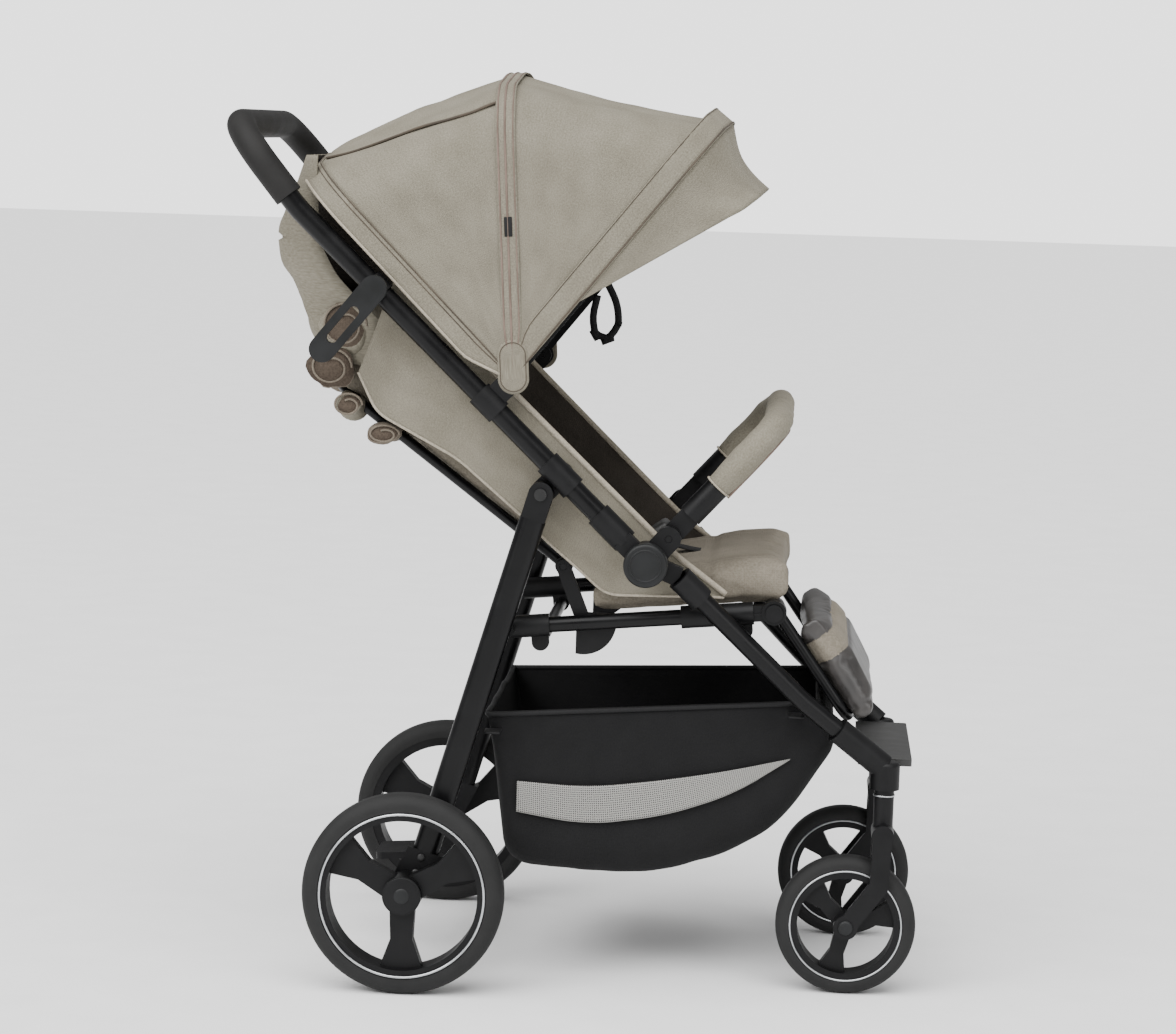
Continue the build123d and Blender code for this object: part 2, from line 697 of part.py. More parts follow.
def canopy_rib(rib, eye_inner):
    """A bent flat strip with an eye at each end, just inside the fabric."""
    angle, side_radius, crown_radius = rib
    half = eye_inner + RIB_EYE / 2
    inset = CANOPY_WALL + SOFT_GAP + RIB_EYE / 2 + RIB_TUCK
    profile = [
        (-half, RIB_EYE_RADIUS - 2),
        (-half, side_radius - inset),
        (0, crown_radius - inset),
        (half, side_radius - inset),
        (half, RIB_EYE_RADIUS - 2),
    ]
    points = [at(along(CANOPY_PIVOT, angle, reach), y) for y, reach in profile]
    with BuildPart() as piece:
        with BuildLine() as path:
            FilletPolyline(*points, radius=[CANOPY_CORNER, CANOPY_CROWN, CANOPY_CORNER])
        with BuildSketch(cross_plane(along(CANOPY_PIVOT, angle, RIB_EYE_RADIUS - 2), -half, angle)):
            Rectangle(RIB_EYE, RIB_WIDTH)
        sweep(path=path.wire())
        for side in SIDES.values():
            with BuildSketch(layer(side * eye_inner)):
                disc(CANOPY_PIVOT, RIB_EYE_RADIUS)
            extrude(amount=outward(side, 0, RIB_EYE))
            with BuildSketch(layer(side * eye_inner)):
                disc(CANOPY_PIVOT, CANOPY_PIN / 2 + PIN_GAP)
            extrude(amount=outward(side, 0, RIB_EYE), mode=Mode.SUBTRACT)
    return piece.part


save(canopy_rib(REAR_RIB, EYE_INNER["rear"]), "canopy_rear_rib")
save(canopy_rib(MID_RIB, EYE_INNER["mid"]), "canopy_mid_rib")
save(canopy_rib(FRONT_RIB, EYE_INNER["front"]), "canopy_front_rib")
save(canopy_rib(VISOR_EDGE, EYE_INNER["visor"]), "canopy_visor_rib")
save(canopy_panel(REAR_RIB, MID_RIB), "canopy_rear_panel")
save(canopy_panel(MID_RIB, FRONT_RIB), "canopy_front_panel")
save(canopy_panel(FRONT_RIB, VISOR_EDGE), "canopy_visor")

# ---------------------------------------------------------------------------
# Rear legs, axle and brake
# ---------------------------------------------------------------------------

REAR_LEG_ANGLE = angle_of(REAR_PIVOT, along(REAR_AXLE, 0, 9))
LEG_START = along(REAR_PIVOT, REAR_LEG_ANGLE, KNUCKLE_LENGTH)
LEG_FOOT = along(REAR_PIVOT, REAR_LEG_ANGLE, REAR_LEG_LENGTH)

for side_name, side in SIDES.items():
    with BuildPart() as rear_knuckle:
        with BuildSketch(layer(side * KNUCKLE_INNER)):
            disc(REAR_PIVOT, KNUCKLE_RADIUS)
            bar(REAR_PIVOT, LEG_START, 2 * KNUCKLE_RADIUS)
            disc(REAR_PIVOT, LEG_PIN / 2 + PIN_GAP, mode=Mode.SUBTRACT)
        extrude(amount=outward(side, KNUCKLE_INNER, KNUCKLE_OUTER))
    save(rear_knuckle.part, f"rear_knuckle_{side_name}")

    with BuildPart() as rear_leg:
        with BuildSketch(cross_plane(LEG_START, side * PIVOT_HALF, REAR_LEG_ANGLE)):
            SlotOverall(REAR_LEG_WIDTH, REAR_LEG_DEPTH, rotation=90)
            SlotOverall(
                REAR_LEG_WIDTH - 2 * TUBE_WALL,
                REAR_LEG_DEPTH - 2 * TUBE_WALL,
                rotation=90,
                mode=Mode.SUBTRACT,
            )
        extrude(amount=span(LEG_START, LEG_FOOT))
    save(rear_leg.part, f"rear_leg_{side_name}")

    with BuildPart() as axle_housing:
        with BuildSketch(layer(side * KNUCKLE_INNER)):
            link(LEG_FOOT, REAR_AXLE, HOUSING_WIDTH)
        extrude(amount=outward(side, KNUCKLE_INNER, KNUCKLE_OUTER))
        leg_end = cross_plane(LEG_FOOT, side * PIVOT_HALF, REAR_LEG_ANGLE)
        with BuildSketch(leg_end.offset(-HOUSING_WIDTH)):
            Rectangle(2 * REAR_LEG_DEPTH, 2 * HOUSING_WIDTH)
        extrude(amount=HOUSING_WIDTH, mode=Mode.SUBTRACT)
        with BuildSketch(layer(side * KNUCKLE_INNER)):
            disc(REAR_AXLE, STUB_AXLE / 2 + SEAT_GAP)
        extrude(amount=outward(side, KNUCKLE_INNER, KNUCKLE_OUTER), mode=Mode.SUBTRACT)
    save(axle_housing.part, f"axle_housing_{side_name}")

REAR_WHEEL_INNER = KNUCKLE_OUTER + REAR_WHEEL_GAP
REAR_WHEEL_MIDDLE = REAR_WHEEL_INNER + REAR_WHEEL_WIDTH / 2
STUB_END = REAR_WHEEL_MIDDLE + REAR_WHEEL_WIDTH / 2 - 8

with BuildPart() as rear_axle:
    with BuildSketch(layer(0)):
        disc(REAR_AXLE, AXLE / 2)
    extrude(amount=KNUCKLE_INNER, both=True)
    with BuildSketch(layer(0)):
        disc(REAR_AXLE, STUB_AXLE / 2)
    extrude(amount=STUB_END, both=True)
save(rear_axle.part, "rear_axle")

with BuildPart() as brake_pedal:
    with BuildSketch(layer(0)):
        disc(REAR_AXLE, AXLE / 2 + PIN_GAP + SLEEVE_WALL)
        bar(REAR_AXLE, along(REAR_AXLE, PEDAL_ANGLE, PEDAL_REACH), PEDAL_THICKNESS)
        disc(REAR_AXLE, AXLE / 2 + PIN_GAP, mode=Mode.SUBTRACT)
    extrude(amount=PEDAL_HALF, both=True)
    pedal_tip = brake_pedal.edges().filter_by(Axis.Z, tolerance=10).group_by(Axis.X)[0]
    fillet(pedal_tip, 8)
save(brake_pedal.part, "brake_pedal")

# ---------------------------------------------------------------------------
# Seat frame
# ---------------------------------------------------------------------------

RAIL_INNER = RAIL_HALF - RAIL_TUBE / 2
BOSS_OUTER = RAIL_HALF + 13
RAIL_TUBE_END = along(RAIL_FRONT, RAIL_ANGLE, -BOSS_RADIUS)
LUG_REACH = KNUCKLE_INNER - FACE_GAP

for side_name, side in SIDES.items():
    with BuildPart() as seat_rail:
        with BuildSketch(cross_plane(RAIL_REAR, side * RAIL_HALF, RAIL_ANGLE)):
            Circle(RAIL_TUBE / 2)
            Circle(RAIL_TUBE / 2 - TUBE_WALL, mode=Mode.SUBTRACT)
        extrude(amount=span(RAIL_REAR, RAIL_TUBE_END))
    save(seat_rail.part, f"seat_rail_{side_name}")

PLATE_INNER = RAIL_INNER
PLATE_OUTER = RAIL_INNER + 6

with BuildPart() as rail_sleeves:
    for side in SIDES.values():
        leg_inner = front_leg_half(SEAT_PIVOT_X + SEAT_BOSS_RADIUS) - FRONT_TUBE / 2
        # Middle sleeve, with the seat pivot's boss and the plate that holds the front crossbar
        with BuildSketch(cross_plane(on_rail(SLEEVE_FROM_X), side * RAIL_HALF, RAIL_ANGLE)):
            Circle(RAIL_TUBE / 2 + SLEEVE_WALL)
        extrude(amount=span(on_rail(SLEEVE_FROM_X), on_rail(SLEEVE_TO_X)))
        with BuildSketch(layer(side * RAIL_HALF)):
            disc(SEAT_PIVOT, SEAT_BOSS_RADIUS)
        extrude(amount=outward(side, RAIL_HALF, leg_inner - FACE_GAP))
        # Rear end fitting, reaching out towards the rear leg
        rear_cap = along(RAIL_REAR, RAIL_ANGLE, -SLEEVE_WALL)
        with BuildSketch(cross_plane(rear_cap, side * RAIL_HALF, RAIL_ANGLE)):
            Circle(RAIL_TUBE / 2 + SLEEVE_WALL)
        extrude(amount=REAR_FITTING_LENGTH)
        with BuildSketch(layer(side * RAIL_HALF)):
            disc(along(RAIL_REAR, RAIL_ANGLE, REAR_LUG_INSET), SEAT_BOSS_RADIUS)
        extrude(amount=outward(side, RAIL_HALF, LUG_REACH))
        for x in (CROSSBAR_REAR_X, CROSSBAR_FRONT_X):
            with BuildSketch(layer(side * PLATE_INNER)):
                link(on_rail(x), on_rail(x, -CROSSBAR_DROP), CROSSBAR_PLATE)
            extrude(amount=outward(side, PLATE_INNER, PLATE_OUTER))
        # Front boss with a pocket for the leg-rest button
        with BuildSketch(layer(side * RAIL_INNER)):
            disc(RAIL_FRONT, BOSS_RADIUS)
            bar(on_rail(SLEEVE_TO_X - SLEEVE_WALL), RAIL_FRONT, RAIL_TUBE)
        extrude(amount=outward(side, RAIL_INNER, RAIL_INNER + RAIL_TUBE))
        with BuildSketch(layer(side * RAIL_HALF)):
            disc(RAIL_FRONT, BOSS_RADIUS)
        extrude(amount=outward(side, RAIL_HALF, BOSS_OUTER))
        with BuildSketch(layer(side * BOSS_OUTER)):
            disc(RAIL_FRONT, BUTTON_RADIUS + PIN_GAP)
        extrude(amount=-outward(side, 0, BUTTON_TRAVEL + 4), mode=Mode.SUBTRACT)
        with BuildSketch(layer(side * RAIL_INNER)):
            disc(RAIL_FRONT, LEG_PIN / 2 + PIN_GAP)
        extrude(amount=outward(side, 0, 12), mode=Mode.SUBTRACT)
        # The rail's own bore
        with BuildSketch(cross_plane(RAIL_REAR, side * RAIL_HALF, RAIL_ANGLE)):
            Circle(RAIL_TUBE / 2 + SEAT_GAP)
        extrude(amount=span(RAIL_REAR, RAIL_TUBE_END) + SEAT_GAP, mode=Mode.SUBTRACT)
save(rail_sleeves.part, "rail_sleeves")

with BuildPart() as seat_crossbars:
    for x in (CROSSBAR_REAR_X, CROSSBAR_FRONT_X):
        with BuildSketch(layer(0)):
            disc(on_rail(x, -CROSSBAR_DROP), CROSS_TUBE / 2)
            disc(on_rail(x, -CROSSBAR_DROP), CROSS_TUBE / 2 - TUBE_WALL, mode=Mode.SUBTRACT)
        extrude(amount=PLATE_INNER, both=True)
save(seat_crossbars.part, "seat_crossbars")

# Recline brackets: a strut up to the backrest hinge and a quarter disc below the rail
BRACKET_OUTER = RAIL_INNER - SEAT_GAP
BRACKET_INNER = BRACKET_OUTER - BRACKET_THICKNESS
BRACKET_FOOT = on_rail(190)
with BuildPart() as recline_brackets:
    for side in SIDES.values():
        with BuildSketch(layer(side * BRACKET_INNER)):
            disc(BRACKET_FOOT, QUADRANT_RADIUS)
            with Locations(flat(along(BRACKET_FOOT, 180, QUADRANT_RADIUS / 2 + 8))):
                Rectangle(QUADRANT_RADIUS, 2 * QUADRANT_RADIUS, mode=Mode.SUBTRACT)
            with Locations(flat(along(BRACKET_FOOT, 90, QUADRANT_RADIUS / 2 + 10))):
                Rectangle(3 * QUADRANT_RADIUS, QUADRANT_RADIUS, mode=Mode.SUBTRACT)
            link(BRACKET_FOOT, BACK_PIVOT, BRACKET_WIDTH)
            disc(BACK_PIVOT, LEG_PIN / 2 + PIN_GAP, mode=Mode.SUBTRACT)
        extrude(amount=outward(side, BRACKET_INNER, BRACKET_OUTER))
save(recline_brackets.part, "recline_brackets")

# Seat pad
SEAT_BASE_LIFT = BOSS_RADIUS + SOFT_GAP
with BuildPart() as seat_pad:
    with BuildSketch(layer(0)):
        with BuildLine():
            Polyline(
                flat(on_rail(SEAT_REAR_X, SEAT_BASE_LIFT)),
                flat(on_rail(SEAT_FRONT_X, SEAT_BASE_LIFT)),
                flat(on_rail(SEAT_FRONT_X, SEAT_BASE_LIFT + SEAT_FRONT_THICKNESS)),
                flat(on_rail(SEAT_FRONT_X - 60, SEAT_BASE_LIFT + SEAT_FRONT_THICKNESS)),
                flat(on_rail(SEAT_REAR_X, SEAT_BASE_LIFT + SEAT_REAR_THICKNESS)),
                close=True,
            )
        make_face()
    extrude(amount=SEAT_PAD_HALF, both=True)
    fillet(seat_pad.edges().filter_by(Axis.Y).group_by(Axis.X)[-1], PAD_ROUND)
save(seat_pad.part, "seat_pad")

# ---------------------------------------------------------------------------
# Backrest
# ---------------------------------------------------------------------------

BACK_TOP = along(BACK_PIVOT, BACK_ANGLE, BACK_LENGTH)
BACK_BOSS_INNER = BACK_HALF - BACK_TUBE / 2 - 2
BACK_BOSS_OUTER = BRACKET_INNER - FACE_GAP

with BuildPart() as backrest_frame:
    with BuildLine() as back_path:
        FilletPolyline(
            at(along(BACK_PIVOT, BACK_ANGLE, BACK_TUBE_START), -BACK_HALF),
            at(BACK_TOP, -BACK_HALF),
            at(BACK_TOP, BACK_HALF),
            at(along(BACK_PIVOT, BACK_ANGLE, BACK_TUBE_START), BACK_HALF),
            radius=BACK_BEND,
        )
    with BuildSketch(back_path.wire() ^ 0):
        Circle(BACK_TUBE / 2)
    sweep()
    for side in SIDES.values():
        with BuildSketch(layer(side * BACK_BOSS_INNER)):
            disc(BACK_PIVOT, BACK_BOSS_RADIUS)
        extrude(amount=outward(side, BACK_BOSS_INNER, BACK_BOSS_OUTER))
        with BuildSketch(layer(side * BACK_BOSS_OUTER)):
            disc(BACK_PIVOT, LEG_PIN / 2)
        extrude(amount=outward(side, BACK_BOSS_OUTER, BRACKET_OUTER - 1))
save(backrest_frame.part, "backrest_frame")


def back_point(distance, lift):
    """A point along the backrest, lifted forward of its tubes."""
    return along(along(BACK_PIVOT, BACK_ANGLE, distance), BACK_ANGLE - 90, lift)


BACK_PAD_BASE = BACK_TUBE / 2 + SOFT_GAP
with BuildPart() as backrest_pad:
    with BuildSketch(layer(0)):
        with BuildLine():
            Polyline(
                flat(back_point(BACK_PAD_START, BACK_PAD_BASE)),
                flat(back_point(BACK_PAD_END, BACK_PAD_BASE)),
                flat(back_point(BACK_PAD_END, BACK_PAD_BASE + BACK_PAD_THICKNESS)),
                flat(back_point(BACK_PAD_START, BACK_PAD_BASE + BACK_PAD_THICKNESS)),
                close=True,
            )
        make_face()
    extrude(amount=SEAT_HALF, both=True)
    fillet(backrest_pad.edges().filter_by(Axis.Y), PAD_ROUND)
save(backrest_pad.part, "backrest_pad")

# Rear curtain: hangs from the rear rib down behind the backrest
rear_crown = along(CANOPY_PIVOT, REAR_RIB[0], REAR_RIB[2] - CANOPY_WALL - RIB_TUCK - RIB_EYE)
CURTAIN_SEAT = 1.4  # how far the fabric's line sinks towards the flat rib
CURTAIN_TOP = along(rear_crown, REAR_RIB[0] + 90, RIB_WIDTH / 2 + CURTAIN_WALL - CURTAIN_SEAT)
CURTAIN_HEM = back_point(BACK_PAD_END + CURTAIN_WALL, BACK_PAD_BASE)
CURTAIN_PROFILE = [CURTAIN_TOP, (-164, 862), (-166, 836), (-128, 732), CURTAIN_HEM]
with BuildPart() as canopy_rear_curtain:
    with BuildSketch(layer(0)):
        with BuildLine() as curtain_line:
            Polyline(*[flat(point) for point in CURTAIN_PROFILE])
            offset(amount=CURTAIN_WALL, side=Side.LEFT)
        make_face()
    extrude(amount=CURTAIN_HALF, both=True)
save(canopy_rear_curtain.part, "canopy_rear_curtain")

# ---------------------------------------------------------------------------
# Leg rest
# ---------------------------------------------------------------------------

LEGREST_END = along(RAIL_FRONT, LEGREST_ANGLE, LEGREST_LENGTH)
LEGREST_BOSS_INNER = LEGREST_HALF - LEGREST_TUBE / 2 - 2
LEGREST_BOSS_OUTER = RAIL_INNER - FACE_GAP

with BuildPart() as legrest_frame:
    with BuildLine() as legrest_path:
        FilletPolyline(
            at(along(RAIL_FRONT, LEGREST_ANGLE, LEGREST_TUBE_START), -LEGREST_HALF),
            at(LEGREST_END, -LEGREST_HALF),
            at(LEGREST_END, LEGREST_HALF),
            at(along(RAIL_FRONT, LEGREST_ANGLE, LEGREST_TUBE_START), LEGREST_HALF),
            radius=LEGREST_BEND,
        )
    with BuildSketch(legrest_path.wire() ^ 0):
        Circle(LEGREST_TUBE / 2)
    sweep()
    for side in SIDES.values():
        with BuildSketch(layer(side * LEGREST_BOSS_INNER)):
            disc(RAIL_FRONT, BOSS_RADIUS - 2)
        extrude(amount=outward(side, LEGREST_BOSS_INNER, LEGREST_BOSS_OUTER))
        with BuildSketch(layer(side * LEGREST_BOSS_OUTER)):
            disc(RAIL_FRONT, LEG_PIN / 2)
        extrude(amount=outward(side, 0, 10))
save(legrest_frame.part, "legrest_frame")


def legrest_point(distance, lift):
    """A point along the leg rest, lifted forward of its tubes."""
    return along(along(RAIL_FRONT, LEGREST_ANGLE, distance), LEGREST_ANGLE + 90, lift)


LEGREST_PAD_BASE = LEGREST_TUBE / 2 + SOFT_GAP
LEGREST_PAD_END = LEGREST_LENGTH + LEGREST_PAD_OVERHANG
with BuildPart() as legrest_pad:
    with BuildSketch(layer(0)):
        with BuildLine():
            Polyline(
                flat(legrest_point(LEGREST_PAD_START, LEGREST_PAD_BASE)),
                flat(legrest_point(LEGREST_PAD_END, LEGREST_PAD_BASE)),
                flat(legrest_point(LEGREST_PAD_END, LEGREST_PAD_BASE + LEGREST_PAD_NOSE)),
                flat(legrest_point(LEGREST_PAD_CROWN, LEGREST_PAD_BASE + LEGREST_PAD_THICKNESS)),
                flat(legrest_point(LEGREST_PAD_START, LEGREST_PAD_BASE + LEGREST_PAD_HEEL)),
                close=True,
            )
        make_face()
    extrude(amount=SEAT_HALF, both=True)
    fillet(legrest_pad.edges().filter_by(Axis.Y), LEGREST_PAD_ROUND)
save(legrest_pad.part, "legrest_pad")

BUTTON_INNER = BOSS_OUTER - BUTTON_TRAVEL + 0.5
for side_name, side in SIDES.items():
    with BuildPart() as legrest_button:
        with BuildSketch(layer(side * BUTTON_INNER)):
            disc(RAIL_FRONT, BUTTON_RADIUS)
        extrude(amount=outward(side, BUTTON_INNER, BUTTON_INNER + BUTTON_LENGTH))
    save(legrest_button.part, f"legrest_button_{side_name}")

# ---------------------------------------------------------------------------
# Bumper bar
# ---------------------------------------------------------------------------

BUMPER_TOP = along(BUMPER_PIVOT, BUMPER_ANGLE, BUMPER_LENGTH)
BUMPER_START = along(BUMPER_PIVOT, BUMPER_ANGLE, BUMPER_TUBE_START)
BUMPER_ARM_END = along(BUMPER_PIVOT, BUMPER_ANGLE, BUMPER_ARM_LENGTH)
ARM_OUTER = HUB_INNER - FACE_GAP
ARM_INNER = ARM_OUTER - BUMPER_ARM_THICKNESS

bumper_points = [
    at(BUMPER_START, -BUMPER_HALF),
    at(BUMPER_TOP, -BUMPER_HALF),
    at(BUMPER_TOP, BUMPER_HALF),
    at(BUMPER_START, BUMPER_HALF),
]
bumper_bar = bent_tube(bumper_points, BUMPER_BEND, BUMPER_TUBE, BUMPER_TUBE - 2 * TUBE_WALL)
save(bumper_bar, "bumper_bar")

cover_points = [
    at(BUMPER_ARM_END, -BUMPER_HALF),
    at(BUMPER_TOP, -BUMPER_HALF),
    at(BUMPER_TOP, BUMPER_HALF),
    at(BUMPER_ARM_END, BUMPER_HALF),
]
cover_bore = BUMPER_TUBE + 2 * SEAT_GAP
bumper_cover = bent_tube(cover_points, BUMPER_BEND, BUMPER_COVER_OUTER, cover_bore)
save(bumper_cover, "bumper_cover")

with BuildPart() as bumper_arms:
    for side in SIDES.values():
        with BuildSketch(layer(side * ARM_INNER)):
            link(BUMPER_PIVOT, BUMPER_START, BUMPER_ARM_OUTER - SLEEVE_WALL)
        extrude(amount=outward(side, ARM_INNER, ARM_OUTER))
        with BuildSketch(cross_plane(BUMPER_START, side * BUMPER_HALF, BUMPER_ANGLE)):
            Circle(BUMPER_ARM_OUTER / 2)
        extrude(amount=span(BUMPER_START, BUMPER_ARM_END))
        with BuildSketch(cross_plane(BUMPER_START, side * BUMPER_HALF, BUMPER_ANGLE)):
            Circle(BUMPER_TUBE / 2 + SEAT_GAP)
        extrude(amount=span(BUMPER_START, BUMPER_ARM_END), mode=Mode.SUBTRACT)
        with BuildSketch(layer(side * ARM_OUTER)):
            disc(BUMPER_PIVOT, LEG_PIN / 2)
        extrude(amount=outward(side, ARM_OUTER, HUB_SPLIT - 1))
save(bumper_arms.part, "bumper_arms")

# ---------------------------------------------------------------------------
# Wheels and forks
# ---------------------------------------------------------------------------


def wheel_rim(middle, centre, radius, width, hub, spoke, spoke_start, axle, boss, closed=0):
    """A moulded rim: a ring, three flared spokes and a bored hub, closed on one side or none."""
    inner = radius - RIM_WALL
    with BuildPart() as rim:
        with BuildSketch(layer(middle)):
            disc(centre, radius)
            disc(centre, inner, mode=Mode.SUBTRACT)
        extrude(amount=width / 2 - 1, both=True)
        with BuildSketch(layer(middle)):
            with Locations(flat(centre)):
                with PolarLocations(0, SPOKES, start_angle=spoke_start):
                    Polygon(
                        (0, -spoke / 2),
                        (0.6 * inner, -0.42 * spoke),
                        (inner + 2, -0.85 * spoke),
                        (inner + 2, 0.85 * spoke),
                        (0.6 * inner, 0.42 * spoke),
                        (0, spoke / 2),
                        align=None,
                    )
        extrude(amount=width * SPOKE_SHARE, both=True)
        with BuildSketch(layer(middle)):
            disc(centre, hub)
        extrude(amount=boss, both=True)
        with BuildSketch(layer(middle)):
            disc(centre, axle / 2 + PIN_GAP)
        extrude(amount=boss - HUB_FLOOR * abs(closed), both=True, mode=Mode.SUBTRACT)
        if closed:
            with BuildSketch(layer(middle)):
                disc(centre, axle / 2 + PIN_GAP)
            extrude(amount=-outward(closed, 0, boss), mode=Mode.SUBTRACT)
    return rim.part


def wheel_tyre(middle, centre, radius, width, depth):
    """A round-shouldered tyre on the rim."""
    with BuildPart() as tyre:
        with BuildSketch(layer(middle)):
            disc(centre, radius)
        extrude(amount=width / 2, both=True)
        outer_rims = tyre.edges().filter_by(GeomType.CIRCLE)
        fillet(outer_rims, TYRE_ROUND * width)
        with BuildSketch(layer(middle)):
            disc(centre, radius - depth)
        extrude(amount=width, both=True, mode=Mode.SUBTRACT)
    return tyre.part


FORK_INNER = FRONT_WHEEL_WIDTH / 2 + FORK_GAP
FORK_TOP = STEM_TOP[1] - STEM_LENGTH - FACE_GAP

for side_name, side in SIDES.items():
    rear_middle = side * REAR_WHEEL_MIDDLE
    rim_radius = REAR_WHEEL_RADIUS - REAR_TYRE_DEPTH
    rear_rim = wheel_rim(
        rear_middle,
        REAR_AXLE,
        rim_radius,
        REAR_WHEEL_WIDTH,
        REAR_HUB_RADIUS,
        REAR_SPOKE_WIDTH,
        REAR_SPOKE_START,
        STUB_AXLE,
        REAR_WHEEL_WIDTH / 2 - 0.5,
        closed=side,
    )
    save(rear_rim, f"rear_rim_{side_name}")
    rear_tyre = wheel_tyre(
        rear_middle, REAR_AXLE, REAR_WHEEL_RADIUS, REAR_WHEEL_WIDTH, REAR_TYRE_DEPTH
    )
    save(rear_tyre, f"rear_tyre_{side_name}")

    front_middle = side * STEM_HALF
    rim_radius = FRONT_WHEEL_RADIUS - FRONT_TYRE_DEPTH
    front_rim = wheel_rim(
        front_middle,
        FRONT_AXLE_POINT,
        rim_radius,
        FRONT_WHEEL_WIDTH,
        FRONT_HUB_RADIUS,
        FRONT_SPOKE_WIDTH,
        FRONT_SPOKE_START,
        FRONT_AXLE,
        FORK_INNER - FACE_GAP,
    )
    save(front_rim, f"front_rim_{side_name}")
    front_tyre = wheel_tyre(
        front_middle, FRONT_AXLE_POINT, FRONT_WHEEL_RADIUS, FRONT_WHEEL_WIDTH, FRONT_TYRE_DEPTH
    )
    save(front_tyre, f"front_tyre_{side_name}")

    with BuildPart() as fork:
        stem_base = Plane(origin=at((STEM_TOP[0], FORK_STEM_BOTTOM), front_middle))
        with BuildSketch(stem_base):
            Circle(FORK_STEM / 2)
        extrude(amount=FORK_TOP - FORK_STEM_BOTTOM)
        with BuildSketch(stem_base.offset(FORK_TOP - FORK_STEM_BOTTOM)):
            Circle(STEM_PIN / 2)
        extrude(amount=STEM_LENGTH - STEM_ROOF - 2)
        crown = (STEM_TOP[0], FORK_STEM_BOTTOM)
        with BuildSketch(layer(front_middle)):
            disc(crown, FORK_ARM_WIDTH / 2 + 2)
        extrude(amount=FORK_INNER + FORK_ARM, both=True)
        elbow = (STEM_TOP[0] - 2, FORK_ELBOW)
        for direction in (-1, 1):
            arm_y = front_middle + direction * FORK_INNER
            with BuildSketch(layer(arm_y)):
                link(crown, elbow, FORK_ARM_WIDTH)
                link(elbow, FRONT_AXLE_POINT, FORK_ARM_WIDTH)
                disc(FRONT_AXLE_POINT, FRONT_HUB_RADIUS)
            extrude(amount=-direction * FORK_ARM)
        with BuildSketch(layer(front_middle)):
            disc(FRONT_AXLE_POINT, FRONT_AXLE / 2)
        extrude(amount=FORK_INNER + FORK_ARM, both=True)
    save(fork.part, f"fork_{side_name}")
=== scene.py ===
# %% [markdown]
# # A folding baby stroller
# The CAD model gives the frame: every tube, hub and wheel already has its real size and
# its joints. This lesson dresses it. The padded and sewn parts are modelled again as
# cloth, the small fittings that CAD leaves out are added, and every surface gets a
# procedural finish. Most pieces ride on a CAD body, so that the stroller still folds.

# %% Load the frame
import bpy
import bmesh
import json
from math import cos, exp, pi, radians, sin
from mathutils import Matrix, Vector, geometry, noise


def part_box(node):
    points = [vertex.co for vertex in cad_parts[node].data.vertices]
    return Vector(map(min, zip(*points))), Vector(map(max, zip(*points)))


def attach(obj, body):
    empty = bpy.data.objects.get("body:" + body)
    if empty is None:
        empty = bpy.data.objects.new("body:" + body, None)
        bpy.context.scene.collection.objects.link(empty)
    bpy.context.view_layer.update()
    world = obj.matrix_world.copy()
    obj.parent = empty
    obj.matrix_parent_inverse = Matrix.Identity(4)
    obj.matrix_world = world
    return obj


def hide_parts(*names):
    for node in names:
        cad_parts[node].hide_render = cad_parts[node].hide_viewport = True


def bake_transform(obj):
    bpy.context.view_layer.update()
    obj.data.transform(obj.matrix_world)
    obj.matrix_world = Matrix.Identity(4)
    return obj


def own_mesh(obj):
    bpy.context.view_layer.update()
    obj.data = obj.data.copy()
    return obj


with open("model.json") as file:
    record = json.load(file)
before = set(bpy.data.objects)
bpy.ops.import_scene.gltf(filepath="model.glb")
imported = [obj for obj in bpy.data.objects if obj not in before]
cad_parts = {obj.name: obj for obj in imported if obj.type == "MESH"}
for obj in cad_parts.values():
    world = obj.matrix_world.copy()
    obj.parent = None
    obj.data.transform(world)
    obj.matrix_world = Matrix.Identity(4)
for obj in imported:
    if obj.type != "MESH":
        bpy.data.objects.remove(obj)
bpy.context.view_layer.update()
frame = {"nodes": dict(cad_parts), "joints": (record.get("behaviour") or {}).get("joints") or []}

# %% [markdown]
# Side-view points are easier to read in millimetres from the rear axle, with x forward
# and z up, as a stroller maker's drawing has them. `at` turns one into Blender's metres.
# The pivots come from the joints, so nothing here guesses where the frame is.

# %% Points and directions
MM = 0.001
PIVOTS = {joint["name"]: Vector(joint["pos_m"]) for joint in frame["joints"] if "pos_m" in joint}
AXLE_X = PIVOTS["rear_wheel_right_spin"].x
SIDES = {"right": -1, "left": 1}


def at(x, z, y=0.0):
    """A side-view point in millimetres from the rear axle, y from the middle plane."""
    return Vector((AXLE_X + x * MM, y * MM, z * MM))


def heading(angle):
    """The side-view direction at that angle, in degrees from forward."""
    return Vector((cos(radians(angle)), 0, sin(radians(angle))))


def mix(a, b, share):
    """The value between a and b."""
    return a + (b - a) * share


print("rear axle at x =", round(AXLE_X, 4), "m")

# %% [markdown]
# The camera stands about four metres from the stroller's right side and a metre above
# the floor, with a long lens so that both sides of the frame nearly line up.

# %% Camera
CAMERA_YAW, CAMERA_PITCH, CAMERA_ROLL = 3.460, 6.748, 1.7925  # degrees
CAMERA_PLACE = (429.84, 983.87, -4071.4)  # x, z, y in millimetres
LENS, SHIFT = 105.9, (-0.0009, 0.0162)  # millimetres, and shares of the sensor's width

